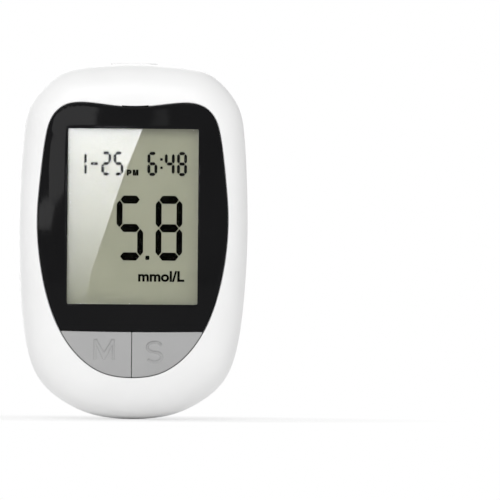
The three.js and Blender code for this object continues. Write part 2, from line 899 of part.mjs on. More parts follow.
function wellCuts() {
  const opening = prism(doorShape(doorGap), -overrun, shelfDepth);
  const cup = rod(cellX, doorMiddle, cupRadius, -overrun, cupFloorDepth);
  const latch = block(pocketLeft, pocketRight, -overrun, latchPocketDepth, latchBottom, latchTop);
  const tabs = tabPlaces.map((height) =>
    block(
      doorLeft - tabPocketOuter,
      doorLeft + tabPocketInner,
      shellWall,
      tabSwing,
      height - tabWidth / 2 - tabPocketGap,
      height + tabWidth / 2 + tabPocketGap,
    ),
  );
  const slotWall = contactThickness / 2 + contactGap;
  const negativeSlot = block(
    negativeLegX - slotWall,
    negativeLegX + slotWall,
    cupFloorDepth - overrun,
    boardDepth,
    doorMiddle - contactHalf - contactGap,
    doorMiddle + contactHalf + contactGap,
  );
  const positiveSlot = block(
    positiveX - slotWall,
    cellX + cupRadius + cupWall + overrun,
    positiveTop - contactGap,
    boardDepth,
    doorMiddle - contactHalf - contactGap,
    doorMiddle + contactHalf + contactGap,
  );
  return joined([opening, cup, latch, ...tabs, negativeSlot, positiveSlot]);
}

// Finger scoop beside the latch: a D-shaped dip that deepens towards the door
function fingerScoop() {
  const outer = pocketRight + scoopReach;
  const low = latchTop - scoopHeight;
  const shape = new THREE.Shape();
  shape.moveTo(pocketRight - overrun, latchTop);
  shape.lineTo(pocketRight - overrun, low);
  shape.lineTo(pocketRight, low);
  shape.quadraticCurveTo(outer, low, outer, latchTop);
  const dip = prism(shape, -overrun, scoopDepth, curveSteps);
  const ramp = new THREE.Shape();
  ramp.moveTo(pocketRight - overrun, -scoopDepth);
  ramp.lineTo(pocketRight, -scoopDepth);
  ramp.lineTo(outer, 0);
  ramp.lineTo(outer, overrun);
  ramp.lineTo(pocketRight - overrun, overrun);
  return dip.intersect(column(ramp, low - overrun, latchTop + overrun));
}

// Channel of the slider, open towards the strip port
const channelDepth = sliderPlateDepth + sliderPlate + fitGap;
const channelBack = channelDepth + channelPad;
const sliderTop = sliderBottom + sliderLength;
const stemLow = sliderBottom + stemRise;
const stemHigh = stemLow + stemHeight;
const carriageNear = channelBack + partGap;
const carriageFar = carriageNear + carriageThickness;
const carriageLow = sliderBottom + carriageRise;
const carriageHigh = carriageLow + carriageHeight;
const springLow = carriageHigh + seatGap;
const springHigh = springLow + springLength;

function channelPadding() {
  const reach = sliderWidth / 2 + sliderGap + shellWall;
  const low = sliderBottom - sliderGap - shellWall;
  const pad = block(-reach, reach, shellWall / 2, channelBack, low, shellLength);
  const railLeft = carriageWidth / 2 + partGap;
  const rails = [-1, 1].map((side) => {
    const inner = side * railLeft;
    const outer = side * (railLeft + railWidth);
    const left = Math.min(inner, outer);
    const right = Math.max(inner, outer);
    return block(left, right, channelBack - overrun, channelBack + railHeight, low, springLow);
  });
  const restHalf = springRestWidth / 2;
  const restHigh = springHigh + seatGap + springRestThickness;
  const restFar = springDepth + springRadius;
  const rest = block(-restHalf, restHalf, channelBack - overrun, restFar, springHigh + seatGap, restHigh);
  return joined([pad, ...rails, rest]).intersect(rearOuter);
}

function channelCuts() {
  const reach = sliderWidth / 2 + sliderGap;
  const low = sliderBottom - sliderGap;
  const corner = sliderCorner + sliderGap;
  const shape = roundedRect(-reach, reach, low, shellLength + corner + overrun, corner);
  const slotHalf = stemWidth / 2 + partGap;
  const slotTop = stemHigh + sliderTravel + partGap;
  const slot = block(-slotHalf, slotHalf, 0, channelBack + overrun, stemLow - partGap, slotTop);
  return prism(shape, -overrun, channelDepth).add(slot);
}

function thumbValley() {
  const profile = [];
  for (let i = 0; i <= valleyArcSteps; i += 1) {
    const across = (2 * i) / valleyArcSteps - 1;
    profile.push(new THREE.Vector2(valleyRadius + across * valleyHalfWidth, valleyDepth * (across ** 2 - 1)));
  }
  profile.push(new THREE.Vector2(valleyRadius + valleyHalfWidth, valleyRoof));
  profile.push(new THREE.Vector2(valleyRadius - valleyHalfWidth, valleyRoof));
  profile.push(profile[0].clone());
  const geometry = new THREE.LatheGeometry(profile, valleySteps);
  const tilt = THREE.MathUtils.degToRad(valleyTiltDegrees);
  geometry.rotateX(tilt);
  geometry.translate(0, valleyRadius * Math.sin(tilt), doorMiddle);
  return solid(geometry);
}

function rearShell() {
  const hollow = pebbleHalf({
    start: rearDepth,
    end: shellWall,
    rounding: rearRounding,
    steps: hollowSteps,
    margin: shellWall,
    lead: overrun,
  });
  const lipOutside = shellWall - lipThickness;
  const lip = casingPlate(lipOutside, rearDepth - lipHeight, rearDepth + lipHeight).subtract(
    casingPlate(shellWall, rearDepth - lipHeight - overrun, rearDepth + lipHeight + overrun),
  );
  const bosses = screwPlaces.map(([x, height]) =>
    rod(x, height, wellRadius + bossWall, 0, rearDepth - seatGap).intersect(rearOuter),
  );
  const wells = screwPlaces.map(([x, height]) => rod(x, height, wellRadius, -overrun, wellDepth));
  const holes = screwPlaces.map(([x, height]) => rod(x, height, screwHole, 0, rearDepth + overrun));
  const postFar = boardDepth - seatGap;
  const postX = halfWidth - boardPosts.upperMargin;
  const postHeight = buzzerHeight + buzzerRadius + boardPosts.buzzerGap + boardPostRadius;
  const posts = [-1, 1].flatMap((side) => [
    rod(side * postX, postHeight, boardPostRadius, shellWall / 2, postFar),
    rod(side * boardPosts.lowerX, boardPosts.lowerHeight, boardPostRadius, shellWall / 2, postFar),
  ]);
  const upperSound = [halfWidth - soundHoles.upperMargin, buzzerHeight + soundHoles.upperRise];
  const lowerSound = [halfWidth - soundHoles.lowerMargin, buzzerHeight - soundHoles.lowerDrop];
  const sound = [upperSound, lowerSound].map(([x, height]) =>
    rod(x, height, soundHoleRadius, -overrun, rearDepth),
  );
  return joined([
    rearOuter.subtract(hollow),
    lip,
    ...bosses,
    ...posts,
    wellWalls(),
    channelPadding(),
  ])
    .subtract(joined([...wells, ...holes, ...sound]))
    .subtract(wellCuts())
    .subtract(channelCuts())
    .subtract(thumbValley())
    .subtract(fingerScoop())
    .subtract(prism(labelShape(labelGap), -overrun, labelRecess))
    .subtract(portHole())
    .subtract(portFlangeRoom());
}

// Battery door with its spring tongue, hinge tabs and the ribs that press on the cell
function batteryDoor() {
  const panel = prism(doorShape(0), 0, doorThickness);
  const notch = block(notchX, doorRight + overrun, -overrun, doorThickness + overrun, latchBottom, latchTop);
  const path = [new THREE.Vector2(tongueInnerX, -tongueThickness / 2)];
  const bendX = (tongueInnerX + tongueOuterX) / 2;
  for (let i = 0; i <= tongueBendSteps; i += 1) {
    const angle = Math.PI * (1 + i / tongueBendSteps);
    const radius = tongueSpan / 2;
    const deep = -tongueStraight + radius * Math.sin(angle);
    path.push(new THREE.Vector2(bendX + radius * Math.cos(angle), deep));
  }
  path.push(new THREE.Vector2(tongueOuterX, -tongueTop));
  const low = latchBottom + tabPocketGap;
  const high = latchTop - tabPocketGap;
  const tongue = column(bentStrip(path, tongueThickness), low, high);
  const lipNear = tongueTop;
  const lip = block(tongueOuterX, tongueTipX, lipNear, lipNear + tongueThickness, low, high);
  const tabs = tabPlaces.flatMap((height) => {
    const bottom = height - tabWidth / 2;
    const top = height + tabWidth / 2;
    return [
      block(doorLeft + doorGap, doorLeft + tabRoot, doorThickness / 2, tabBack, bottom, top),
      block(doorLeft - tabReach, doorLeft + tabRoot, tabFront, tabBack, bottom, top),
    ];
  });
  const ribs = [-1, 1].map((side) => {
    const x = cellX + side * doorRibSpread;
    const half = doorRibWidth / 2;
    const low = doorMiddle - doorRibLength / 2;
    return block(x - half, x + half, doorThickness / 2, doorThickness + doorRib, low, low + doorRibLength);
  });
  return joined([panel.subtract(notch), tongue, lip, ...tabs, ...ribs]);
}

function coinCell() {
  const far = cellDepth + cellThickness;
  return turned(cellX, doorMiddle, [
    [0, far],
    [cellCapRadius, far],
    [cellCapRadius, far - cellCapRise],
    [cellRadius, far - cellCapRise],
    [cellRadius, cellDepth],
    [0, cellDepth],
  ]);
}

const positiveX = cellX + cellRadius + contactGap + contactThickness / 2;

function negativeContact() {
  const floor = cupFloorDepth - contactThickness / 2 - seatGap;
  const path = [
    new THREE.Vector2(negativeLegX, -(boardDepth - seatGap)),
    new THREE.Vector2(negativeLegX, -floor),
    new THREE.Vector2(cellX, -floor),
    new THREE.Vector2(negativeTipX, -(floor - negativeRise)),
  ];
  const shape = bentStrip(path, contactThickness);
  return column(shape, doorMiddle - contactHalf, doorMiddle + contactHalf);
}

function positiveContact() {
  const path = [
    new THREE.Vector2(positiveX, -positiveTop),
    new THREE.Vector2(positiveX, -(boardDepth - seatGap)),
  ];
  const shape = bentStrip(path, contactThickness);
  return column(shape, doorMiddle - contactHalf, doorMiddle + contactHalf);
}

// Slider: a plate with a bowed top edge, grip ribs, a stem through the slot and a snap peg
function ejectorSlider() {
  const half = sliderWidth / 2;
  const shape = new THREE.Shape();
  shape.moveTo(-half + sliderCorner, sliderBottom);
  shape.lineTo(half - sliderCorner, sliderBottom);
  shape.absarc(half - sliderCorner, sliderBottom + sliderCorner, sliderCorner, -Math.PI / 2, 0);
  shape.lineTo(half, sliderTop - sliderTopBow - sliderTopCorner);
  const shoulder = half - sliderTopCorner;
  const shoulderTop = sliderTop - sliderTopBow / 2;
  const sideTop = sliderTop - sliderTopBow;
  shape.quadraticCurveTo(half, sideTop, shoulder, shoulderTop);
  shape.quadraticCurveTo(0, sliderTop + sliderTopBow / 2, -shoulder, shoulderTop);
  shape.quadraticCurveTo(-half, sideTop, -half, sideTop - sliderTopCorner);
  shape.lineTo(-half, sliderBottom + sliderCorner);
  shape.absarc(-half + sliderCorner, sliderBottom + sliderCorner, sliderCorner, Math.PI, Math.PI * 1.5);
  const plateFar = sliderPlateDepth + sliderPlate;
  const pieces = [prism(shape, sliderPlateDepth, plateFar)];
  for (let i = 0; i < ribCount; i += 1) {
    const height = sliderBottom + ribFirst + i * ribPitch;
    const low = height - ribThickness / 2;
    const top = sliderPlateDepth - ribRise;
    pieces.push(block(-ribWidth / 2, ribWidth / 2, top, plateFar, low, low + ribThickness));
  }
  const stemFar = carriageNear - seatGap;
  pieces.push(block(-stemWidth / 2, stemWidth / 2, sliderPlateDepth, stemFar, stemLow, stemHigh));
  const pegHeight = (stemLow + stemHigh) / 2;
  const pegFar = carriageFar + seatGap;
  pieces.push(rod(0, pegHeight, pegRadius, sliderPlateDepth, pegFar + pegHead));
  pieces.push(rod(0, pegHeight, pegHeadRadius, pegFar, pegFar + pegHead));
  return joined(pieces);
}

// Carriage: a plate held by the peg, with a finger that reaches the strip and a nose inside the spring
function ejectorCarriage() {
  const half = carriageWidth / 2;
  const plate = block(-half, half, carriageNear, carriageFar, carriageLow, carriageHigh);
  const fingerLow = sliderBottom + fingerRise;
  const finger = block(
    -fingerWidth / 2,
    fingerWidth / 2,
    carriageNear,
    fingerTipDepth,
    fingerLow,
    fingerLow + fingerThickness,
  );
  const noseSides = roundSides / 2;
  const noseBase = new THREE.CylinderGeometry(springNoseRadius, springNoseRadius, springNoseLength, noseSides);
  noseBase.rotateX(Math.PI / 2);
  noseBase.translate(0, -springDepth, carriageHigh + springNoseLength / 2 - seatGap);
  const shoulderHalf = springRadius + springWire;
  const shoulderLow = carriageHigh - springRestThickness;
  const shoulderFar = springDepth + springRadius;
  const shoulder = block(-shoulderHalf, shoulderHalf, carriageNear, shoulderFar, shoulderLow, carriageHigh);
  const hole = rod(0, (stemLow + stemHigh) / 2, pegRadius + seatGap, 0, carriageFar + overrun);
  return joined([plate, finger, shoulder, solid(noseBase)]).subtract(hole);
}

class SpringCurve extends THREE.Curve {
  getPoint(share, target = new THREE.Vector3()) {
    const angle = share * springTurns * Math.PI * 2;
    const rise = springWire / 2 + share * (springLength - springWire);
    const across = springRadius * Math.cos(angle);
    const deep = springRadius * Math.sin(angle);
    return target.set(across, deep - springDepth, springLow + rise);
  }
}

function ejectorSpring() {
  const section = new THREE.Shape();
  const corners = [];
  for (let i = 0; i < springSides; i += 1) {
    const angle = (i / springSides) * Math.PI * 2;
    corners.push(new THREE.Vector2(Math.cos(angle), Math.sin(angle)).multiplyScalar(springWire / 2));
  }
  section.setFromPoints(corners);
  const steps = springTurns * springStepsPerTurn;
  const extrudePath = new SpringCurve();
  return solid(new THREE.ExtrudeGeometry(section, { steps, extrudePath, bevelEnabled: false }));
}

// Strip port: a collar through the top end with a flange behind the wall and a stepped mouth
function stripPort() {
  const flangeTop = shellLength - portFlangeSink + portFlangeThickness;
  const flangeLow = flangeTop - portFlangeThickness;
  const collar = column(portShape(0), flangeLow, stripTop);
  const flange = column(portShape(portFlange), flangeLow, flangeTop);
  const mouth = stripSlot(portMouthWidth, portMouth, stripTop - portMouthDepth, stripTop + overrun);
  const throat = stripSlot(stripWidth + fitGap, stripThickness + fitGap, flangeLow - overrun, stripTop);
  return collar.add(flange).subtract(mouth).subtract(throat);
}

function stripSlot(width, thickness, low, high) {
  return block(-width / 2, width / 2, stripDepth - thickness / 2, stripDepth + thickness / 2, low, high);
}

const connectorTop = shellLength - connectorTopDrop;
const connectorLow = connectorTop - connectorLength;
const stripBack = stripDepth + stripThickness / 2;
const grooveFar = boardDepth - stripContactThickness;

function contactPlaces() {
  const places = [];
  for (let i = 0; i < stripContactCount; i += 1) {
    places.push((i - (stripContactCount - 1) / 2) * stripContactPitch);
  }
  return places;
}

function stripConnector() {
  const half = connectorWidth / 2;
  const body = block(-half, half, connectorDepth, boardDepth - seatGap, connectorLow, connectorTop);
  const slotLow = connectorLow + connectorStop;
  const slot = stripSlot(stripWidth, stripThickness, slotLow, connectorTop + overrun);
  const fingerHalf = fingerWidth / 2 + partGap;
  const fingerSlot = block(
    -fingerHalf,
    fingerHalf,
    connectorDepth - overrun,
    stripBack,
    connectorLow - overrun,
    connectorLow + fingerSlotLength,
  );
  const grooveHalf = stripContactWidth / 2 + stripGrooveGap;
  const grooveTop = connectorTop - stripGrooveEnd;
  const grooves = contactPlaces().map((x) =>
    block(x - grooveHalf, x + grooveHalf, stripDepth, grooveFar, connectorLow - overrun, grooveTop),
  );
  return body.subtract(slot).subtract(fingerSlot).subtract(joined(grooves));
}

// One strip contact: a tail on the board, a straight run in its groove and a bump that meets the strip
function stripContact(x) {
  const lower = grooveFar - stripContactThickness;
  const upper = stripBack + stripContactThickness;
  const bump = stripDepth + stripContactThickness;
  const path = [
    new THREE.Vector2(-lower, connectorLow - stripContactTail),
    new THREE.Vector2(-lower, connectorLow + stripContactTail),
    new THREE.Vector2(-upper, connectorLow + connectorStop),
    new THREE.Vector2(-upper, connectorTop - stripContactBump - stripContactRamp),
    new THREE.Vector2(-bump, connectorTop - stripContactBump),
    new THREE.Vector2(-upper, connectorTop - stripContactBump + stripContactTip),
  ];
  const half = stripContactWidth / 2;
  return sideways(bentStrip(path, stripContactThickness), x - half, x + half);
}

// Pan-head screw
function caseScrew(x, height) {
  const seat = wellDepth - seatGap;
  const headTop = seat - screwHead;
  const end = wellDepth + screwLength;
  return turned(x, height, [
    [0, end],
    [screwShank / 2, end],
    [screwShank, end - screwShank],
    [screwShank, seat],
    [screwHeadRadius, seat],
    [screwHeadRadius, headTop + screwHeadDome],
    [screwCrownRadius, headTop],
    [0, headTop],
  ], screwSides);
}

function labelShape(extra) {
  return roundedRect(
    labelX - labelWidth / 2 - extra,
    labelX + labelWidth / 2 + extra,
    labelBottom - extra,
    doorBottom - labelDoorGap + extra,
    labelCorner + extra,
  );
}

function rearLabel() {
  return prism(labelShape(0), labelRecess - labelThickness, labelRecess);
}

const meter = new THREE.Group();
meter.position.z = mountGap - doorBottom;

function place(name, piece, finish) {
  const { vertProperties, triVerts } = piece.getMesh();
  const geometry = new THREE.BufferGeometry();
  geometry.setAttribute('position', new THREE.BufferAttribute(vertProperties, 3));
  geometry.setIndex(new THREE.BufferAttribute(triVerts, 1));
  geometry.computeVertexNormals();
  const mesh = new THREE.Mesh(geometry, new THREE.MeshStandardMaterial(finish));
  mesh.name = name;
  meter.add(mesh);
}

place('front_shell', frontShell(), white);
place('rear_shell', rearShell(), white);
place('display_bezel', displayBezel(), black);
place('display_window', displayWindow(), clear);
place('lcd_cell', lcdCell(), glass);
place('lcd_holder', lcdHolder(), white);
place('zebra_connector', zebraConnector(), rubber);
place('memory_button', button(-1), grey);
place('set_button', button(1), grey);
place('memory_switch', tactSwitch(-1), black);
place('set_switch', tactSwitch(1), black);
place('memory_switch_stem', switchStem(-1), black);
place('set_switch_stem', switchStem(1), black);
place('circuit_board', circuitBoard(), boardGreen);
place('main_chip', mainChip(), black);
place('buzzer', buzzer(), black);
place('battery_door', batteryDoor(), white);
place('coin_cell', coinCell(), steel);
place('battery_contact_negative', negativeContact(), steel);
place('battery_contact_positive', positiveContact(), steel);
place('ejector_slider', ejectorSlider(), grey);
place('ejector_carriage', ejectorCarriage(), black);
place('ejector_spring', ejectorSpring(), steel);
place('strip_port', stripPort(), white);
place('strip_connector', stripConnector(), black);
contactPlaces().forEach((x, i) => place(`strip_contact_${i + 1}`, stripContact(x), gold));
screwPlaces.forEach(([x, height], i) => place(`case_screw_${i + 1}`, caseScrew(x, height), steel));
place('rear_label', rearLabel(), foil);

export default meter;
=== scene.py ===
# %% [markdown]
# # A handheld blood glucose meter
# This lesson dresses a meter that already exists as a plain construction model. The construction gives every
# piece its place and size, and nothing here moves it. Blender adds what the eye looks for: soft rims where
# mouldings end, gaps that cast a line of shadow, the digits under the window, and a finish on each surface.
#
# The meter has two white shell halves like a pebble cut flat, a black display panel, two grey keys, a battery
# door and an ejector slider on the back, and a strip port in the top end.

import math
from types import SimpleNamespace

import bmesh
import bpy
import numpy as np
from mathutils import Matrix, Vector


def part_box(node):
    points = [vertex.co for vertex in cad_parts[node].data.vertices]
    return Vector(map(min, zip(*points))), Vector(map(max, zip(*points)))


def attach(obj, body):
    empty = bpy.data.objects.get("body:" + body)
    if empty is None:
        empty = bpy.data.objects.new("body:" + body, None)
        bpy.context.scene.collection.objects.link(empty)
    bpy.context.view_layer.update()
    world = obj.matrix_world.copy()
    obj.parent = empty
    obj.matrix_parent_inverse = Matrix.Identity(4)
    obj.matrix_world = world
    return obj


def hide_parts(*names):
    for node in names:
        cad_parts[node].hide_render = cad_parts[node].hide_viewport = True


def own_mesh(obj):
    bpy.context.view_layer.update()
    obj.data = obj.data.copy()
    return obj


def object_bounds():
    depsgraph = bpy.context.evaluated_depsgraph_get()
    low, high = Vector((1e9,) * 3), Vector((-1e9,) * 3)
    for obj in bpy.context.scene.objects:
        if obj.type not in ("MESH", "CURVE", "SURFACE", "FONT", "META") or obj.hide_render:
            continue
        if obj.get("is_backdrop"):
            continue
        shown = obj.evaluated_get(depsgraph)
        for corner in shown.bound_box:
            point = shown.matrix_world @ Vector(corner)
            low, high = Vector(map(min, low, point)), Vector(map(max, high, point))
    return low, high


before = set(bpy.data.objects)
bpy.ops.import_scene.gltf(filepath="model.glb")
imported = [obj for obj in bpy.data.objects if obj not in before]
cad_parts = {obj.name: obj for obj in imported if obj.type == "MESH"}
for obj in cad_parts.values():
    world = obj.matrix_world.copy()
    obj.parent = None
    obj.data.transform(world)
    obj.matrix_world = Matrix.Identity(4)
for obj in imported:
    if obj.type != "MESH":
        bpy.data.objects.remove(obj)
cad_low, cad_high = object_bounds()
print("pieces in the frame:", len(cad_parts))

# %% [markdown]
# ## Measures that suit a meter
# The frame is in metres, with the display facing -Y. A meter is easier to think about from its own side: x
# across it, depth from the flat of the back towards the display, and height from its bottom end, all in
# millimetres. One small function takes such points to the frame, so every piece lands where the construction
# has it.

# %% From the meter's own measures to the frame
MM = 0.001
BOTTOM_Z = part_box("front_shell")[0].z


def to_frame(points):
    """Points given as x, depth and height in millimetres, as x, y and z of the frame in metres."""
    x, depth, height = np.asarray(points, float).reshape(-1, 3).T
    return np.column_stack([x * MM, -depth * MM, height * MM + BOTTOM_Z])


def measure(node):
    """Where a construction piece lies, in the meter's own measures."""
    low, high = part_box(node)
    return SimpleNamespace(
        left=low.x / MM,
        right=high.x / MM,
        near=-high.y / MM,
        far=-low.y / MM,
        low=(low.z - BOTTOM_Z) / MM,
        high=(high.z - BOTTOM_Z) / MM,
    )


front = measure("front_shell")
HALF_WIDTH = front.right
LENGTH = front.high
MID = LENGTH / 2
PARTING = front.near
print("length", round(LENGTH, 2), "width", round(2 * HALF_WIDTH, 2), "parting line at", round(PARTING, 2))

# %% [markdown]
# ## Camera, floor and light
# The picture shows the meter's front from straight ahead with a long lens, to the left of the frame's middle
# and with a slight lean. A camera far away with a narrow view gives that flat, catalogue-like perspective.
# The camera is rolled a little for the lean, so that the meter itself stays upright.
#
# The surroundings are white. The world shows white to the camera, and lights the piece with a plainer grey,
# so that the white plastic keeps its shading instead of burning out, also where it mirrors at a slant. A
# large soft lamp above and to the left models the form.

# %% Camera
PIXEL = 0.27  # millimetres to a pixel of the 500 x 500 picture, at the widest section of the meter
MIDDLE_PIXEL = 132.75
BOTTOM_PIXEL = 420.0
LEAN = math.radians(0.48)  # the meter leans to the right by this much in the picture
PICTURE = 500
SENSOR = 36
LENS = 1200
CLIP_NEAR = 0.1
CLIP_FAR = 20


def in_scene(name, data):
    """A new object in the scene that shows this data."""
    made = bpy.data.objects.new(name, data)
    bpy.context.scene.collection.objects.link(made)
    return made


camera_data = bpy.data.cameras.new("camera")
camera_data.sensor_width = SENSOR
camera_data.lens = LENS
camera_data.clip_start = CLIP_NEAR
camera_data.clip_end = CLIP_FAR
camera = in_scene("camera", camera_data)
bpy.context.scene.camera = camera
CAMERA_X = (PICTURE / 2 - MIDDLE_PIXEL) * PIXEL
CAMERA_HEIGHT = (BOTTOM_PIXEL - PICTURE / 2) * PIXEL
CAMERA_AWAY = PICTURE * PIXEL * LENS / SENSOR
camera.location = to_frame([CAMERA_X, PARTING + CAMERA_AWAY, CAMERA_HEIGHT])[0]
camera.rotation_euler = (math.pi / 2, -LEAN, 0)
bpy.context.scene.view_settings.view_transform = "Standard"
print("camera", [round(value, 4) for value in camera.location])

# %% World
WHITE = (1, 1, 1, 1)
AMBIENT = 0.68


def empty_tree(owner):
    """The node tree of a new material or world, emptied."""
    owner.use_nodes = True
    owner.node_tree.nodes.clear()
    return owner.node_tree


def add_node(tree, kind, **values):
    """A new node in a tree, with the values given for its inputs."""
    node = tree.nodes.new(kind)
    for label, value in values.items():
        node.inputs[label.replace("_", " ")].default_value = value
    return node


def wire(tree, *pairs):
    """Links the output to the input in each pair."""
    for source, target in pairs:
        tree.links.new(source, target)


def combined(tree, operation, first, second):
    """One value worked out from two."""
    node = add_node(tree, "ShaderNodeMath")
    node.operation = operation
    wire(tree, (first, node.inputs[0]), (second, node.inputs[1]))
    return node.outputs[0]


def ray_is(tree, *rays):
    """One where a ray is of one of the named kinds, and zero otherwise."""
    path = add_node(tree, "ShaderNodeLightPath")
    total = path.outputs[rays[0]]
    for ray in rays[1:]:
        total = combined(tree, "MAXIMUM", total, path.outputs[ray])
    return total


world = bpy.data.worlds.new("white_room")
bpy.context.scene.world = world
tree = empty_tree(world)
shown = add_node(tree, "ShaderNodeBackground", Color=WHITE)
lighting = add_node(tree, "ShaderNodeBackground", Color=WHITE, Strength=AMBIENT)
choose = add_node(tree, "ShaderNodeMixShader")
output = add_node(tree, "ShaderNodeOutputWorld")
wire(
    tree,
    (ray_is(tree, "Is Camera Ray", "Is Transmission Ray"), choose.inputs[0]),
    (lighting.outputs[0], choose.inputs[1]),
    (shown.outputs[0], choose.inputs[2]),
    (choose.outputs[0], output.inputs[0]),
)
print("world light", AMBIENT)

# %% [markdown]
# The floor shades like paper close to the meter, where its shadow falls. Further out it glows white for the
# camera and for reflections, so that it runs into the background without an edge.

# %% Floor
FLOOR_HALF = 3.0
FLOOR_PALE = 0.93
SHADOW_NEAR = 0.02  # metres from the frame's origin, where the white glow sets in
SHADOW_FAR = 0.10  # and where it is full
floor_mesh = bpy.data.meshes.new("floor")
corners = [(x * FLOOR_HALF, y * FLOOR_HALF, BOTTOM_Z) for x, y in ((-1, -1), (1, -1), (1, 1), (-1, 1))]
floor_mesh.from_pydata(corners, [], [(0, 1, 2, 3)])
floor = in_scene("floor", floor_mesh)
floor_material = bpy.data.materials.new("pale_floor")
tree = empty_tree(floor_material)
paper = add_node(tree, "ShaderNodeBsdfDiffuse", Color=(FLOOR_PALE, FLOOR_PALE, FLOOR_PALE, 1))
glow = add_node(tree, "ShaderNodeEmission", Color=WHITE)
place = add_node(tree, "ShaderNodeTexCoord")
away = add_node(tree, "ShaderNodeVectorMath")
away.operation = "LENGTH"
fade = add_node(tree, "ShaderNodeMapRange", From_Min=SHADOW_NEAR, From_Max=SHADOW_FAR)
seen = ray_is(tree, "Is Camera Ray", "Is Glossy Ray", "Is Transmission Ray")
mixed = add_node(tree, "ShaderNodeMixShader")
output = add_node(tree, "ShaderNodeOutputMaterial")
wire(
    tree,
    (place.outputs["Object"], away.inputs[0]),
    (away.outputs["Value"], fade.inputs["Value"]),
    (combined(tree, "MULTIPLY", fade.outputs["Result"], seen), mixed.inputs[0]),
    (paper.outputs[0], mixed.inputs[1]),
    (glow.outputs[0], mixed.inputs[2]),
    (mixed.outputs[0], output.inputs[0]),
)
floor_mesh.materials.append(floor_material)
floor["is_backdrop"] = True
print("floor", 2 * FLOOR_HALF, "m wide")

# %% Lamps
LAMPS = {
    # name: place in metres, size and power. Both look at the frame's origin
    "key_above_left": ((-0.18, -1.4, 0.8), 0.8, 9.4),
    "fill_behind": ((-0.3, 1.3, 0.4), 1.0, 6.2),
}
for name, (spot, size, power) in LAMPS.items():
    lamp_data = bpy.data.lights.new(name, "AREA")
    lamp_data.size = size
    lamp_data.energy = power
    lamp = in_scene(name, lamp_data)
    lamp.location = spot
    x, y, z = spot
    lamp.rotation_euler = (math.atan2(math.hypot(x, y), z), 0, math.atan2(-y, -x) - math.pi / 2)
print("lamps", list(LAMPS))

# %% [markdown]
# ## The casing's outline and its two surfaces
# A pebble shape could be sculpted, or made with a subdivision cage. Here both halves must meet the panel, the
# keys and the door to a fraction of a millimetre, so the surface follows a rule instead. An outline is drawn
# through a few listed points. From there a superellipse turns the side wall into the flat back and into
# the slightly crowned face. Because it is a rule, it can be asked for the surface's depth at any point, and
# each cut, rim and button top can follow it.

# %% A smooth closed outline
OUTLINE_STEPS = 288
SPLINE_FINE = 40


def closed_spline(knots, count):
    """Even points along the smooth closed curve through the knots, which run anticlockwise."""
    knots = np.asarray(knots, float)
    total = len(knots)
    step = np.sqrt(np.linalg.norm(np.roll(knots, -1, 0) - knots, axis=1))
    matrix = np.zeros((total, total))
    wanted = np.zeros((total, 2))
    for i in range(total):
        after = (i + 1) % total
        matrix[i, i - 1] += step[i - 1]
        matrix[i, i] += 2 * (step[i - 1] + step[i])
        matrix[i, after] += step[i]
        wanted[i] = 6 * ((knots[after] - knots[i]) / step[i] - (knots[i] - knots[i - 1]) / step[i - 1])
    bend = np.linalg.solve(matrix, wanted)
    along = np.linspace(0, 1, SPLINE_FINE, endpoint=False)[:, None]
    fine = []
    for i in range(total):
        after = (i + 1) % total
        a, b = 1 - along, along
        curve = (a**3 - a) * bend[i] + (b**3 - b) * bend[after]
        fine.append(a * knots[i] + b * knots[after] + curve * step[i] ** 2 / 6)
    fine = np.vstack(fine + [knots[:1]])
    travelled = np.concatenate([[0], np.cumsum(np.linalg.norm(np.diff(fine, axis=0), axis=1))])
    even = np.linspace(0, travelled[-1], count, endpoint=False)
    return np.column_stack([np.interp(even, travelled, fine[:, axis]) for axis in (0, 1)])


def mirrored_outline(shares, half_width, bottom, length, count):
    """The outline through shares of a half width and of a length, the same on the left and the right."""
    right = [(across * half_width, bottom + up * length) for across, up in shares]
    left = [(-x, height) for x, height in reversed(right[1:-1])]
    return closed_spline(right + left, count)


def outward(path):
    """The outward direction at each point of an anticlockwise path, long enough to keep its corners sharp."""
    before = path - np.roll(path, 1, 0)
    after = np.roll(path, -1, 0) - path
    first, second = (
        np.column_stack([side[:, 1], -side[:, 0]]) / np.linalg.norm(side, axis=1)[:, None]
        for side in (before, after)
    )
    return (first + second) / (1 + np.sum(first * second, axis=1))[:, None]


def grown(path, distance):
    """A path moved outwards by a distance."""
    return path + outward(path) * distance


CASING_SHARES = (
    # across as a share of the half width, and up as a share of the length
    (0, 0), (0.29, 0.0085), (0.5, 0.032), (0.75, 0.0885), (0.888, 0.167), (0.955, 0.28), (0.985, 0.39),
    (1, 0.56), (0.966, 0.8), (0.915, 0.878), (0.8, 0.9333), (0.62, 0.9771), (0.34, 0.9945), (0, 1),
)
casing = mirrored_outline(CASING_SHARES, HALF_WIDTH, 0, LENGTH, OUTLINE_STEPS)
casing_normal = outward(casing)
casing_reach = np.sum((casing - (0, MID)) * casing_normal, axis=1)
casing_radius = np.hypot(casing[:, 0], casing[:, 1] - MID)
casing_angle = np.arctan2(casing[:, 1] - MID, casing[:, 0])
print("outline", casing.min(0).round(2), casing.max(0).round(2))

# %% The depth of the surface anywhere
ROUND_POWER = 2.6
REAR_ROUNDING = (9, 14, 11)  # in from the side, the top end and the bottom end
FRONT_ROUNDING = (8, 11, 11)
FACE_EDGE = 19.4
CROWN = 1.2
DOOR = measure("battery_door")
DOOR_MIDDLE = (DOOR.low + DOOR.high) / 2
VALLEY_RADIUS = 24.6
VALLEY_HALF_WIDTH = 3.7
VALLEY_DEPTH = 0.8
VALLEY_TILT = math.tan(math.radians(4.3))
VALLEY_SOFT = 0.12


def rounding_at(normals, rounding):
    """How far in from the outline a face turns flat, for each outward direction."""
    side, top, bottom = rounding
    up = np.maximum(normals[:, 1], 0) ** 2
    down = np.maximum(-normals[:, 1], 0) ** 2
    return side + (top - side) * up + (bottom - side) * down


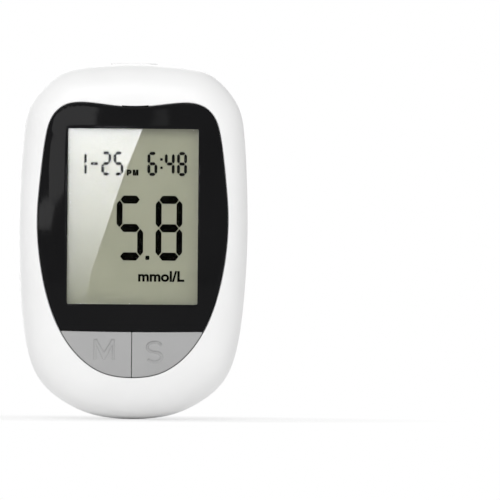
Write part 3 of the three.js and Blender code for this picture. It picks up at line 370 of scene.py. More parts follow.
def from_angle(x, height, values):
    """Values kept along the casing's outline, read in the direction of a point from the casing's middle."""
    return np.interp(np.arctan2(height - MID, x), casing_angle, values, period=2 * math.pi)


def share_and_rise(x, height, rounding):
    """Share of the way out to the outline, and the share of the full height that the rounding has reached."""
    share = np.hypot(x, height - MID) / from_angle(x, height, casing_radius)
    inset = (1 - share) * from_angle(x, height, casing_reach)
    run = from_angle(x, height, rounding_at(casing_normal, rounding))
    left = 1 - np.clip(inset / run, 0, 1)
    return share, (1 - left**ROUND_POWER) ** (1 / ROUND_POWER)


def thumb_valley(x, height):
    """Depth of the arc-shaped thumb valley round the middle of the battery door."""
    across = (np.hypot(x, height - DOOR_MIDDLE) - VALLEY_RADIUS) / VALLEY_HALF_WIDTH
    fall = VALLEY_TILT * (VALLEY_RADIUS - (height - DOOR_MIDDLE))
    return VALLEY_DEPTH * (1 - across**2) - fall


def rear_surface(x, height):
    """Depth of the back's surface: flat, rounded to the sides, with the thumb valley pressed in."""
    _, rise = share_and_rise(x, height, REAR_ROUNDING)
    plain = PARTING * (1 - rise)
    valley = thumb_valley(x, height)
    return (plain + valley + np.sqrt((plain - valley) ** 2 + VALLEY_SOFT**2)) / 2


def front_surface(x, height):
    """Depth of the front's surface, with its slight crown."""
    share, rise = share_and_rise(x, height, FRONT_ROUNDING)
    return PARTING + rise * (FACE_EDGE - PARTING + CROWN * (1 - share**2))


def level(depth):
    """A flat surface at one depth."""
    return lambda x, height: np.full(np.shape(x), float(depth))


def depth_at(surface, x, height):
    """Depth of a surface at one point."""
    return surface(np.array([float(x)]), np.array([float(height)]))[0]


PROBES = ((0, 48), (0, 81.5), (25.1, 75.5))  # x and height of three places on the meter
for spot in PROBES:
    depths = [round(float(depth_at(surface, *spot)), 3) for surface in (rear_surface, front_surface)]
    print(spot, "rear and front", depths)

# %% [markdown]
# ## Solids from rings
# Nearly every moulded piece below is a stack of rings with a cap on each end. That gives a closed mesh with
# even faces, which is what a clean cut needs. A recess is cut with a solid of its own shape whose mouth
# flares out in a quarter circle, so the rim left behind is round without any bevel on the finished mesh.
# Bevels after a cut are the other way, but they tear where many small faces meet.

# %% Rings, skins and cuts
RIM_STEPS = 5
NUDGE = 0.01
CLEAR = 1.0


def in_space(path, along, axis="depth"):
    """A flat path set at a depth, or at a height, as x, depth and height."""
    along = np.broadcast_to(np.asarray(along, float), len(path))
    if axis == "depth":
        return np.column_stack([path[:, 0], along, path[:, 1]])
    return np.column_stack([path[:, 0], path[:, 1], along])


def new_piece(name, points, faces):
    """A mesh object at the origin, with its place in its mesh and its faces turned outwards."""
    mesh = bpy.data.meshes.new(name)
    mesh.from_pydata(to_frame(points).tolist(), [], faces)
    work = bmesh.new()
    work.from_mesh(mesh)
    bmesh.ops.recalc_face_normals(work, faces=work.faces)
    work.to_mesh(mesh)
    work.free()
    return in_scene(name, mesh)


def skin(name, rings, peak=False, loop=False):
    """The closed skin over a stack of rings. With a peak, the last ring closes to its middle, and as a loop
    the last ring joins the first."""
    count = len(rings[0])
    points = np.vstack(rings)
    faces = []
    for r in range(len(rings) - (0 if loop else 1)):
        here, there = r * count, (r + 1) % len(rings) * count
        for i in range(count):
            after = (i + 1) % count
            faces.append((here + i, here + after, there + after, there + i))
    if loop:
        return new_piece(name, points, faces)
    faces.append(tuple(range(count)))
    last = (len(rings) - 1) * count
    if peak:
        points = np.vstack([points, rings[-1].mean(0)])
        faces += [(last + i, last + (i + 1) % count, len(points) - 1) for i in range(count)]
    else:
        faces.append(tuple(range(last, last + count)))
    return new_piece(name, points, faces)


def quarter_round(path, rim, turn_out):
    """Paths of a quarter circle between a wall and a surface, each with how far it lies below the surface.
    The circle turns outwards for a recess and inwards for a raised piece."""
    rings = []
    for k in range(RIM_STEPS + 1):
        turn = math.pi / 2 * k / RIM_STEPS
        rings.append((grown(path, turn_out * rim * (1 - math.cos(turn))), rim * (1 - math.sin(turn))))
    return rings


def rounded_mouth(path, surface, side, rim, turn_out):
    """Paths of a quarter circle under a surface, each with its depth. The side is -1 on the back, where
    outside is less deep, and 1 on the front."""
    return [(moved, surface(*moved.T) - side * drop) for moved, drop in quarter_round(path, rim, turn_out)]


def recess(name, path, floor, surface, side, rim):
    """A solid that cuts a recess down to a floor and leaves a rounded rim round its mouth."""
    rings = [in_space(path, floor)]
    mouth = rounded_mouth(path, surface, side, rim, 1)
    outermost = side * np.max(side * surface(*path.T)) + side * CLEAR
    mouth.append((grown(path, rim + NUDGE), np.full(len(path), outermost)))
    for k, (moved, depth) in enumerate(mouth):
        least = floor + side * NUDGE * (k + 1)
        if k == RIM_STEPS:
            depth = depth + side * NUDGE
        depth = np.maximum(depth, least) if side > 0 else np.minimum(depth, least)
        rings.append(in_space(moved, depth))
    return skin(name, rings)


def toward_middle(edge, middle, surface, steps):
    """Rings from an edge towards a middle, laid on a surface."""
    shrunk = [middle + (edge - middle) * (1 - k / steps) for k in range(1, steps)]
    return [in_space(inner, surface(*inner.T)) for inner in shrunk]


def raised(name, path, back, surface, side, rim, back_rim=0.0, steps=12):
    """A piece with a rounded edge, whose top follows a surface to its middle."""
    rings = [in_space(grown(path, -back_rim), back)] if back_rim > 0 else []
    rings.append(in_space(path, back + side * back_rim))
    rings += [in_space(moved, depth) for moved, depth in rounded_mouth(path, surface, side, rim, -1)]
    edge = grown(path, -rim)
    return skin(name, rings + toward_middle(edge, edge.mean(0), surface, steps), peak=True)


def slab(name, path, start, end, axis="depth", edge=0.0):
    """A path pushed from one depth or height to another, with its edges softened a little."""
    if edge <= 0:
        return skin(name, [in_space(path, start, axis), in_space(path, end, axis)])
    lean = math.copysign(edge, end - start)
    soft = 1 - math.sqrt(0.5)
    rim = ((edge, 0.0), (edge * soft, lean * soft), (0.0, lean))  # how far in, and how far along
    rings = [in_space(grown(path, -inset), start + along, axis) for inset, along in rim]
    rings += [in_space(grown(path, -inset), end - along, axis) for inset, along in reversed(rim)]
    return skin(name, rings)


def combine(piece, other, how):
    """Cuts or joins one closed piece with another, which is used up."""
    modifier = piece.modifiers.new("combine", "BOOLEAN")
    modifier.operation = how
    modifier.solver = "MANIFOLD"
    modifier.object = other
    bpy.context.view_layer.update()
    graph = bpy.context.evaluated_depsgraph_get()
    mesh = bpy.data.meshes.new_from_object(piece.evaluated_get(graph))
    piece.modifiers.clear()
    if len(mesh.vertices) == 0:
        raise RuntimeError(f"{piece.name}: nothing was left by {other.name}")
    mesh.name = piece.name
    piece.data = mesh
    bpy.data.objects.remove(other)
    return piece


def cut(piece, *cutters):
    """Takes closed solids away from a piece."""
    for cutter in cutters:
        combine(piece, cutter, "DIFFERENCE")
    return piece


def fuse(piece, *others):
    """Joins closed solids to a piece."""
    for other in others:
        combine(piece, other, "UNION")
    return piece


# %% Paths to push and cut with
FINE = 1.2  # longest straight stretch of a path that follows a surface
CORNER_STEPS = 8
SMALL_STEPS = 4  # enough for a small corner
CIRCLE_SIDES = 40
LEAST_TURN = 25  # degrees from which a bend in a path counts as a corner
CORNER_ROOM = 1.05


def rounded_rect(left, right, low, high, corner, steps=CORNER_STEPS):
    """An anticlockwise rounded rectangle, with its straight sides divided."""
    path = []
    turns = ((right, low, -90), (right, high, 0), (left, high, 90), (left, low, 180))
    for x, height, start in turns:
        centre_x = x - corner if x == right else x + corner
        centre_height = height - corner if height == high else height + corner
        for k in range(steps + 1):
            angle = math.radians(start + 90 * k / steps)
            path.append((centre_x + corner * math.cos(angle), centre_height + corner * math.sin(angle)))
    return divided(np.array(path))


def grown_rect(box, extra, corner, steps=CORNER_STEPS):
    """A rounded rectangle a little outside a box that is given by its left, right, low and high edge."""
    left, right, low, high = box
    return rounded_rect(left - extra, right + extra, low - extra, high + extra, corner, steps)


def centred_rect(x, height, across, up, corner, steps=SMALL_STEPS):
    """A rounded rectangle round a middle, given by how far it reaches across and up."""
    return rounded_rect(x - across, x + across, height - up, height + up, corner, steps)


def divided(path, longest=FINE):
    """A path with extra points on its long stretches."""
    points = []
    for here, after in zip(path, np.roll(path, -1, 0)):
        parts = max(1, math.ceil(np.linalg.norm(after - here) / longest))
        points += [here + (after - here) * k / parts for k in range(parts)]
    return np.array(points)


def circle(x, height, radius, sides=CIRCLE_SIDES):
    """An anticlockwise circle."""
    angle = np.linspace(0, 2 * math.pi, sides, endpoint=False)
    return np.column_stack([x + radius * np.cos(angle), height + radius * np.sin(angle)])


def softened(path, radius, steps=6):
    """A path whose sharp corners are rounded to a radius. Points too close to a corner are dropped."""
    before, after = np.roll(path, 1, 0) - path, np.roll(path, -1, 0) - path
    before /= np.linalg.norm(before, axis=1)[:, None]
    after /= np.linalg.norm(after, axis=1)[:, None]
    half = np.arccos(np.clip(np.sum(before * after, axis=1), -1, 1)) / 2
    corners = np.flatnonzero(math.pi - 2 * half > math.radians(LEAST_TURN))
    reach = {i: radius / math.tan(half[i]) for i in corners}
    points = []
    for i, here in enumerate(path):
        if i in reach:
            toward = before[i] + after[i]
            toward /= np.linalg.norm(toward)
            centre = here + toward * radius / math.sin(half[i])
            start, end = (here + side * reach[i] - centre for side in (before[i], after[i]))
            for share in np.linspace(0, 1, steps + 1):
                spoke = (1 - share) * start + share * end
                points.append(centre + spoke / np.linalg.norm(spoke) * radius)
        elif all(np.linalg.norm(here - path[c]) > reach[c] * CORNER_ROOM for c in corners):
            points.append(here)
    return np.array(points)


def casing_ring(inset):
    """The casing's outline, moved in towards its middle."""
    scale = 1 - inset / casing_reach
    return (0, MID) + (casing - (0, MID)) * scale[:, None]


WELD = 1e-7
SLIVER = 1e-8
SHARP = 38  # degrees between two faces from which an edge stays sharp
FACE_WEIGHT = 60


def smooth(piece, sharp_degrees):
    """Shades a piece smoothly up to an angle, and lets its large faces rule the shading."""
    work = bmesh.new()
    work.from_mesh(piece.data)
    bmesh.ops.remove_doubles(work, verts=work.verts, dist=WELD)
    bmesh.ops.dissolve_degenerate(work, edges=work.edges, dist=SLIVER)
    work.to_mesh(piece.data)
    work.free()
    piece.data.polygons.foreach_set("use_smooth", [True] * len(piece.data.polygons))
    piece.data.set_sharp_from_angle(angle=math.radians(sharp_degrees))
    weighted = piece.modifiers.new("weighted", "WEIGHTED_NORMAL")
    weighted.keep_sharp = True
    weighted.weight = FACE_WEIGHT
    return piece


def dress(piece, material, body, replaces=(), sharp_degrees=SHARP):
    """Gives a piece its finish, its body and the construction pieces that it stands for."""
    smooth(piece, sharp_degrees)
    piece.data.materials.clear()
    piece.data.materials.append(material)
    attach(piece, body)
    if replaces:
        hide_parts(*replaces)
    print(piece.name, "faces", len(piece.data.polygons))
    return piece


# %% [markdown]
# ## Finishes
# Moulded plastic is never one flat colour. It has a very fine grain from the mould, a gloss that drifts a
# little across the part, and a trace of tone where it is thicker. Each finish here is one Principled shader
# with noise that reads Object coordinates, so the grain keeps its real size on every piece. The noise drives
# tone, gloss and a slight bump. A photographed texture would be the other way, but it fixes the scale and
# needs unwrapping.

# %% Material helpers
NOISE_LOW = 0.3  # nearly all of a noise lies between these two values
NOISE_HIGH = 0.7
GRAIN_DEPTH = 0.02 * MM


def finish(name, roughness=0.4, **sockets):
    """A new material: its tree, its shader and the Object coordinates."""
    material = bpy.data.materials.new(name)
    tree = empty_tree(material)
    shader = add_node(tree, "ShaderNodeBsdfPrincipled", Roughness=roughness, **sockets)
    output = add_node(tree, "ShaderNodeOutputMaterial")
    wire(tree, (shader.outputs[0], output.inputs[0]))
    place = add_node(tree, "ShaderNodeTexCoord")
    return SimpleNamespace(material=material, tree=tree, shader=shader, place=place.outputs["Object"])


def noise(made, scale, detail=3.0, stretch=None):
    """A noise value over a piece. The scale is in patches to the metre."""
    node = add_node(made.tree, "ShaderNodeTexNoise", Scale=scale, Detail=detail)
    source = made.place
    if stretch:
        mapping = add_node(made.tree, "ShaderNodeMapping", Scale=stretch)
        wire(made.tree, (source, mapping.inputs["Vector"]))
        source = mapping.outputs["Vector"]
    wire(made.tree, (source, node.inputs["Vector"]))
    return node.outputs["Fac"]


def tone(made, value, dark, light):
    """Colours a piece between two tones by a value."""
    ramp = add_node(made.tree, "ShaderNodeValToRGB")
    stops = zip(ramp.color_ramp.elements, ((NOISE_LOW, dark), (NOISE_HIGH, light)))
    for stop, (position, colour) in stops:
        stop.position = position
        stop.color = (*colour, 1)
    wire(made.tree, (value, ramp.inputs["Fac"]), (ramp.outputs["Color"], made.shader.inputs["Base Color"]))


def gloss(made, value, low, high):
    """Lets the roughness drift between two values."""
    ends = {"From_Min": NOISE_LOW, "From_Max": NOISE_HIGH, "To_Min": low, "To_Max": high}
    spread = add_node(made.tree, "ShaderNodeMapRange", **ends)
    rough = made.shader.inputs["Roughness"]
    wire(made.tree, (value, spread.inputs["Value"]), (spread.outputs["Result"], rough))


def grain(made, value, strength):
    """A slight relief from a value."""
    bump = add_node(made.tree, "ShaderNodeBump", Strength=strength, Distance=GRAIN_DEPTH)
    wire(made.tree, (value, bump.inputs["Height"]), (bump.outputs["Normal"], made.shader.inputs["Normal"]))


def tinted(name, drift, dark, light, **sockets):
    """A smooth finish whose tone drifts. The noise is given as scale, detail and stretch."""
    made = finish(name, **sockets)
    tone(made, noise(made, *drift), dark, light)
    return made.material


def worked(name, drift, dark, light, sheen, rough, relief, strength, **sockets):
    """A finish with a noise each for its tone, its gloss and its grain."""
    made = finish(name, **sockets)
    tone(made, noise(made, *drift), dark, light)
    gloss(made, noise(made, *sheen), *rough)
    grain(made, noise(made, *relief), strength)
    return made.material


# %% Plastics
PLASTIC_DRIFT = (60.0, 2.0)
PLASTIC_SHEEN = (900.0,)
MOULD_GRAIN = (5200.0, 4.0)


def plastic(name, dark, light, rough, strength, **sockets):
    """Moulded plastic: drifting tone and gloss, and the mould's fine grain."""
    return worked(name, PLASTIC_DRIFT, dark, light, PLASTIC_SHEEN, rough, MOULD_GRAIN, strength, **sockets)


BLACK_TONES = ((0.0045, 0.0045, 0.005), (0.006, 0.006, 0.0065))
shell_white = plastic("shell_white", (0.85, 0.85, 0.848), (0.88, 0.88, 0.878), (0.36, 0.42), 0.10)
panel_black = plastic("panel_black", *BLACK_TONES, (0.02, 0.04), 0.01, Specular_IOR_Level=0.08)
key_grey = plastic("key_grey", (0.367, 0.367, 0.367), (0.392, 0.392, 0.392), (0.42, 0.52), 0.22)
slider_grey = plastic("slider_grey", (0.46, 0.465, 0.46), (0.49, 0.495, 0.49), (0.42, 0.52), 0.22)
inner_white = plastic("inner_white", (0.80, 0.80, 0.79), (0.84, 0.84, 0.83), (0.45, 0.55), 0.15)
inner_black = plastic("inner_black", (0.012, 0.012, 0.013), (0.02, 0.02, 0.021), (0.40, 0.50), 0.20)
contact_rubber = plastic("contact_rubber", (0.03, 0.03, 0.032), (0.05, 0.05, 0.052), (0.75, 0.85), 0.5)
print("finishes so far", len(bpy.data.materials))

# %% [markdown]
# The window is clear plastic, and the display cell behind it is a pale green film under glass, which mirrors.
# The digits are dark shapes of their own in front of the film, so that a reflection on the film passes behind
# them, as it does on a real display. The upper row lies under the brightest part of the reflection, which
# veils it a little, so its ink is glossy as well.

# %% Window and display
CLEAR_TONES = ((0.985, 0.99, 0.985), (1, 1, 1))
CLEARNESS = {"roughness": 0.0, "Transmission_Weight": 1.0, "IOR": 1.06}
window_clear = tinted("window_clear", (80.0,), *CLEAR_TONES, **CLEARNESS)
FILM_TONES = ((0.278, 0.282, 0.201), (0.289, 0.293, 0.210))
display_film = tinted("display_film", (120.0, 2.0), *FILM_TONES, roughness=0.0, IOR=1.6)
INK = ((2500.0,), (0.0015, 0.0015, 0.001), (0.003, 0.003, 0.002))
display_ink = tinted("display_ink", *INK, roughness=0.6, Specular_IOR_Level=0.0)
glossy_ink = tinted("glossy_ink", *INK, roughness=0.0, IOR=1.18)
print("ink tones", INK[1:])

# %% [markdown]
# Drawn steel shows fine streaks along one direction, so its noise is stretched. The zinc on a screw is duller
# and darker, the contacts are plated with gold, and the label is a foil whose streaks run up the meter. The
# board has green lacquer over fine tracks, for which a brick pattern stands in.

# %% Metals, board and label
bright_steel = worked(
    "bright_steel", (700.0,), (0.56, 0.57, 0.58), (0.66, 0.67, 0.68),
    (1500.0, 4.0, (1, 1, 12)), (0.22, 0.38), (3000.0, 4.0, (1, 1, 14)), 0.12, Metallic=1.0,
)
screw_zinc = worked(
    "screw_zinc", (900.0,), (0.30, 0.30, 0.31), (0.38, 0.38, 0.39),
    (2200.0,), (0.34, 0.46), (4500.0,), 0.12, Metallic=1.0,
)
contact_gold = worked(
    "contact_gold", (900.0,), (0.72, 0.50, 0.18), (0.80, 0.58, 0.24),
    (2500.0,), (0.22, 0.34), (5000.0,), 0.08, Metallic=1.0,
)
label_silver = worked(
    "label_silver", (90.0,), (0.50, 0.50, 0.505), (0.56, 0.56, 0.565),
    (1600.0, 4.0, (10, 1, 1)), (0.38, 0.5), (4200.0, 3.0, (8, 1, 1)), 0.12, Metallic=0.35,
)
label_print = tinted("label_print", (3000.0,), (0.10, 0.10, 0.105), (0.14, 0.14, 0.145), roughness=0.5)

TRACKS = {
    "Color1": (0.010, 0.105, 0.035, 1),
    "Color2": (0.014, 0.125, 0.045, 1),
    "Mortar": (0.025, 0.19, 0.075, 1),
    "Scale": 260.0,
    "Mortar_Size": 0.05,
}
board_made = finish("board_green", roughness=0.45)
tracks = add_node(board_made.tree, "ShaderNodeTexBrick", **TRACKS)
upright = add_node(board_made.tree, "ShaderNodeMapping", Rotation=(math.pi / 2, 0, 0))
wire(
    board_made.tree,
    (board_made.place, upright.inputs["Vector"]),
    (upright.outputs["Vector"], tracks.inputs["Vector"]),
    (tracks.outputs["Color"], board_made.shader.inputs["Base Color"]),
)
gloss(board_made, noise(board_made, 1800.0), 0.38, 0.5)
grain(board_made, tracks.outputs["Fac"], 0.15)
board_green = board_made.material
print("finishes", len(bpy.data.materials))

# %% [markdown]
# ## Front shell
# The front shell carries the panel and the keys in a shield-shaped recess. On the real part the recess has a
# soft rim that shows as a thin grey line against the black. The outer form is one stack of rings from the
# parting groove over the rounded edge to the middle of the crown. The inside is cut out with a smaller
# pebble, and the recess, the key opening, the window opening and the port are cut after that.

# %% Pebble halves
ROUND_STEPS = 22
HOLLOW_STEPS = 8
FRONT_STEPS = 16
FRONT_GROOVE = ((0.25, 0.0), (0.25, 0.22), (0.0625, 0.286), (0.0, 0.44))  # inset, and beyond the parting line
WALL = 1.6
INNER_FACE = 17.0
LIP_INSET = 0.9
LIP_HEIGHT = 1.2
LIP_GAP = 0.1


def edge_insets(rounding, steps=ROUND_STEPS, margin=0.0):
    """Insets of the rings that turn a side wall into a face, and how far each has turned."""
    run = rounding_at(casing_normal, rounding)
    turns = np.linspace(0, math.pi / 2, steps + 1)
    return [(margin + run * (1 - math.cos(turn) ** (2 / ROUND_POWER)), math.sin(turn)) for turn in turns]


def pebble(name, surface, rounding, groove, steps):
    """The outside of one shell half, from its parting line to the middle of its face."""
    rings = [in_space(casing_ring(inset), PARTING + beyond) for inset, beyond in groove]
    paths = [casing_ring(inset) for inset, _ in edge_insets(rounding)[1:]]
    rings += [in_space(path, surface(*path.T)) for path in paths]
    return skin(name, rings + toward_middle(paths[-1], (0, MID), surface, steps), peak=True)


def hollow(name, end, rounding, side, margin=WALL):
    """The space inside one shell half, run on past the parting line."""
    rings = [in_space(casing_ring(margin), PARTING - side * CLEAR)]
    for inset, turned in edge_insets(rounding, HOLLOW_STEPS, margin):
        rings.append(in_space(casing_ring(inset), PARTING + turned ** (2 / ROUND_POWER) * (end - PARTING)))
    return skin(name, rings)


front_shell = pebble("front_moulding", front_surface, FRONT_ROUNDING, FRONT_GROOVE, FRONT_STEPS)
cut(front_shell, hollow("inside", INNER_FACE, FRONT_ROUNDING, 1))
rebate = casing_ring(LIP_INSET - LIP_GAP)
cut(front_shell, slab("rebate", rebate, PARTING - CLEAR, PARTING + LIP_HEIGHT + LIP_GAP))
print("front moulding", len(front_shell.data.polygons))

# %% Shield-shaped recess, its ledge and the openings through it
SHIELD_SHARES = (
    # across as a share of the half width, and up as a share of the way from the bottom to the dip
    (0, 0), (0.31, 0.018), (0.589, 0.0894), (0.807, 0.213), (0.951, 0.3918), (1, 0.5732), (0.975, 0.7202),
    (0.912, 0.8962), (0.842, 0.9677), (0.724, 1.0048), (0.546, 1.0165), (0.28, 1.0075), (0, 1),
)
bezel_box = measure("display_bezel")
SHIELD_HALF = bezel_box.right
SHIELD_BOTTOM = 11.3
SHIELD_DIP = 84.05
SHIELD_STEPS = 240
SEAT = 0.15
RECESS_RIM = 0.35
LEDGE = 18.2
BORDER = 24.05  # line between panel and keys
BORDER_BOW = 0.35
KEY_GAP = 0.2
shield = mirrored_outline(SHIELD_SHARES, SHIELD_HALF, SHIELD_BOTTOM, SHIELD_DIP - SHIELD_BOTTOM, SHIELD_STEPS)


def border_at(x):
    """Height of the bowed line between panel and keys."""
    return BORDER - BORDER_BOW * (1 - (x / SHIELD_HALF) ** 2)


def part_of_shield(growth, offset, above, middle=None, steps=14):
    """The shield's outline above or below the border, or only what lies right of a middle line."""

    def beyond(points):
        """How far points lie above the border."""
        return points[..., 1] - border_at(points[..., 0]) - offset

    def meet(inner, outer):
        """The point between two outline points that lies on the border."""
        return inner + (outer - inner) * beyond(inner) / (beyond(inner) - beyond(outer))

    path = grown(shield, growth)
    keep = beyond(path) > 0 if above else beyond(path) < 0
    if middle is not None:
        keep &= path[:, 0] > middle
    first = int(np.argmax(keep & ~np.roll(keep, 1)))
    path, keep = np.roll(path, -first, 0), np.roll(keep, -first, 0)
    kept = path[keep]
    end = meet(kept[-1], path[len(kept)])
    if middle is None:
        start = meet(kept[0], path[-1])
        across = np.linspace(end[0], start[0], steps)[1:-1]
    else:
        start = (middle, np.interp(middle, [path[-1][0], kept[0][0]], [path[-1][1], kept[0][1]]))
        across = np.linspace(end[0], middle, steps)[1:]
    return np.vstack([[start], kept, [end], np.column_stack([across, border_at(across) + offset])])


cut(front_shell, recess("shield_recess", grown(shield, SEAT), LEDGE, front_surface, 1, RECESS_RIM))
key_opening = part_of_shield(SEAT, 0, above=False)
cut(front_shell, slab("key_opening", key_opening, INNER_FACE - CLEAR, LEDGE + CLEAR))
WINDOW = (-17.6, 17.6, 31.0, 78.3)  # left, right, low and high edge of the opening in the panel
WINDOW_CORNER = 0.4
LEAST_CORNER = 0.3
WINDOW_FLANGE = 1.5


def window_rect(extra):
    """The window's outline, or one a little outside it."""
    return grown_rect(WINDOW, extra, max(WINDOW_CORNER + extra, LEAST_CORNER))


cut(front_shell, slab("window_opening", window_rect(WINDOW_FLANGE + SEAT), INNER_FACE - CLEAR, LEDGE + CLEAR))
print("shield", shield.min(0).round(2), shield.max(0).round(2))

# %% [markdown]
# In the dip of the shield's upper edge the panel has a shallow tab that reaches over the soft rim. It is cut
# from the shell as a crisp notch and filled by the panel.

# %% Notch at the top of the shield, port opening and screw bosses
TAB_LEFT = -3.1
TAB_RIGHT = 4.0
TAB_RISE = 0.38
TAB_DROP = 3.0
TAB_STEPS = 12
TAB_SEAT = 0.04
PORT_DEPTH = 8.0
PORT_WIDTH = 12.7
PORT_THICK = 4.2
PORT_CORNER = 1.4
PORT_FLANGE = 1.2
PORT_FLANGE_THICK = 0.9
PORT_SUNK = 0.45
port_box = measure("strip_port")
PORT_TOP = port_box.high - PORT_SUNK
PORT_LOW = port_box.low
SCREWS = [measure(f"case_screw_{i}") for i in range(1, 5)]
SCREW_PLACES = [((screw.left + screw.right) / 2, (screw.low + screw.high) / 2) for screw in SCREWS]
BOSS_RADIUS = 2.6
BOSS_ROOT = 0.5
PILOT_RADIUS = 1.15
PILOT_END = 12.9
FEW_SIDES = 24  # enough for a small round hole


def tab_path(extra):
    """The tab's outline: its upper edge runs along the shield's dip."""
    x = np.linspace(TAB_LEFT - extra, TAB_RIGHT + extra, TAB_STEPS)
    low = SHIELD_DIP - TAB_DROP
    top = shield[shield[:, 1] > low]
    top = top[np.argsort(top[:, 0])]
    dip = np.interp(x, top[:, 0], top[:, 1]) + TAB_RISE + extra
    return np.vstack([[(x[0], low), (x[-1], low)], np.column_stack([x, dip])[::-1]])


def port_path(extra):
    """The port's outline across the meter and through its depth."""
    across, up = PORT_WIDTH / 2 + extra, PORT_THICK / 2 + extra
    return centred_rect(0, PORT_DEPTH, across, up, PORT_CORNER + extra, CORNER_STEPS)


def port_cutters():
    """Solids that cut the port's hole through the top end, with room for its flange behind the wall."""
    hole = slab("port_hole", port_path(SEAT), PORT_LOW - SEAT, PORT_TOP + CLEAR, "height")
    room_path = port_path(PORT_FLANGE + SEAT)
    room = slab("flange_room", room_path, PORT_LOW - SEAT, PORT_LOW + PORT_FLANGE_THICK + SEAT, "height")
    return hole, room


cut(front_shell, slab("tab_notch", tab_path(TAB_SEAT), LEDGE, FACE_EDGE + CROWN + CLEAR))
for x, height in SCREW_PLACES:
    fuse(front_shell, slab("boss", circle(x, height, BOSS_RADIUS), PARTING + LIP_GAP, INNER_FACE + BOSS_ROOT))
for x, height in SCREW_PLACES:
    cut(front_shell, slab("pilot", circle(x, height, PILOT_RADIUS, FEW_SIDES), PARTING - CLEAR, PILOT_END))
cut(front_shell, *port_cutters())
dress(front_shell, shell_white, "casing", ["front_shell"])

# %% [markdown]
# ## Display panel
# The panel is a thin black plate that lies in the recess, flush with the shell, and its own edge is rounded.
# Its top follows the same crown as the shell, so the two read as one swept surface broken by a fine gap. Its
# rings run from the outside over the top and down through the window's opening. Each ring needs as many
# points as the next, so all of them are taken along the same rays from the window's middle.

# %% A frame between two outlines
def at_angles(path, middle, angles):
    """Where rays from a middle meet a closed anticlockwise path that runs round it."""
    here = path - middle
    after = np.roll(here, -1, 0)
    points = []
    for angle in angles:
        ray = np.array([math.cos(angle), math.sin(angle)])
        right = ray[0] * here[:, 1] - ray[1] * here[:, 0]
        left = ray[0] * after[:, 1] - ray[1] * after[:, 0]
        crossed = np.flatnonzero((right <= 0) & (left > 0))
        met = here[crossed] + (after - here)[crossed] * (right / (right - left))[crossed, None]
        points.append(middle + met[np.argmax(met @ ray)])
    return np.array(points)


def frame_piece(name, outer, inner, back, surface, outer_rim, inner_rim, steps=8):
    """A flat frame between two outlines that follows a surface, with both its edges rounded."""
    middle = inner.mean(0)
    outside = quarter_round(outer, outer_rim, -1)
    inside = quarter_round(inner, inner_rim, 1)
    spokes = [edge - middle for edge in (outside[-1][0], inside[-1][0])]
    angles = np.unique(np.concatenate([np.arctan2(spoke[:, 1], spoke[:, 0]) for spoke in spokes]).round(5))
    far, near = (at_angles(middle + spoke, middle, angles) for spoke in spokes)
    between = [(far + (near - far) * k / steps, 0.0) for k in range(1, steps)]
    rings = [in_space(at_angles(outer, middle, angles), back)]
    for path, drop in outside + between + inside[::-1]:
        spot = at_angles(path, middle, angles)
        rings.append(in_space(spot, surface(*spot.T) - drop))
    rings.append(in_space(at_angles(inner, middle, angles), back))
    return skin(name, rings, loop=True)


# %% Panel
PANEL_BACK = bezel_box.near
PANEL_RIM = 0.22
PANEL_CORNER = 0.35
WINDOW_RIM = 0.12
TAB_SUNK = 0.05
TAB_TRIM = (-9, 9, 70, 92)  # a box well outside the tab
ABOVE = FACE_EDGE + CROWN + CLEAR  # a depth in front of the whole face
panel_path = softened(part_of_shield(0, 0, above=True), PANEL_CORNER)
edges = (panel_path, window_rect(0))
panel = frame_piece("display_panel", *edges, PANEL_BACK, front_surface, PANEL_RIM, WINDOW_RIM)
tab = slab("tab", tab_path(0), PANEL_BACK, ABOVE)
tab_top = depth_at(front_surface, 0, SHIELD_DIP) - TAB_SUNK
cut(tab, slab("tab_trim", grown_rect(TAB_TRIM, 0, 1), tab_top, ABOVE + CLEAR))
fuse(panel, tab)
dress(panel, panel_black, "casing", ["display_bezel"])

# %% [markdown]
# ## Window
# The window is a clear plate with a flange that holds it from behind. Its raised middle fills the panel's
# opening and stops a little below the crown. A clear piece is modelled with its real thickness, because its
# edges and both of its faces catch light.

# %% Window plate
WINDOW_EDGE = 0.15
window_box = measure("display_window")
window_path = window_rect(-SEAT)
window_rings = [
    in_space(window_rect(WINDOW_FLANGE), window_box.near),
    in_space(window_rect(WINDOW_FLANGE), LEDGE),
    in_space(window_path, LEDGE),
]
for moved, depth in rounded_mouth(window_path, level(window_box.far), 1, WINDOW_EDGE, -1):
    window_rings.append(in_space(moved, depth))
window_plate = skin("window_plate", window_rings)
dress(window_plate, window_clear, "casing", ["display_window"])

# %% [markdown]
# ## Digits
# A segment display draws every figure from seven bars with slanted ends. The bars repeat, so Geometry Nodes
# place them: a mesh of bare points says where each lit bar is, a named attribute says whether it lies or
# stands, and the tree puts one bar on each point. Joining copies by hand would work as well, but the tree
# keeps the bar and its places apart, and it serves for the screws below as well.

# %% Trees that grow pieces
def new_tree(name, inputs):
    """An empty Geometry Nodes tree with named inputs."""
    tree = bpy.data.node_groups.new(name, "GeometryNodeTree")
    tree.interface.new_socket("Geometry", in_out="INPUT", socket_type="NodeSocketGeometry")
    for label, kind in inputs.items():
        tree.interface.new_socket(label, in_out="INPUT", socket_type=kind)
    tree.interface.new_socket("Geometry", in_out="OUTPUT", socket_type="NodeSocketGeometry")
    return tree, add_node(tree, "NodeGroupInput"), add_node(tree, "NodeGroupOutput")


def close_tree(tree, start, end, geometry):
    """Ends a tree with real copies that carry its material."""
    real = add_node(tree, "GeometryNodeRealizeInstances")
    paint = add_node(tree, "GeometryNodeSetMaterial")
    wire(
        tree,
        (geometry, real.inputs[0]),
        (real.outputs[0], paint.inputs["Geometry"]),
        (start.outputs["Material"], paint.inputs["Material"]),
        (paint.outputs[0], end.inputs[0]),
    )


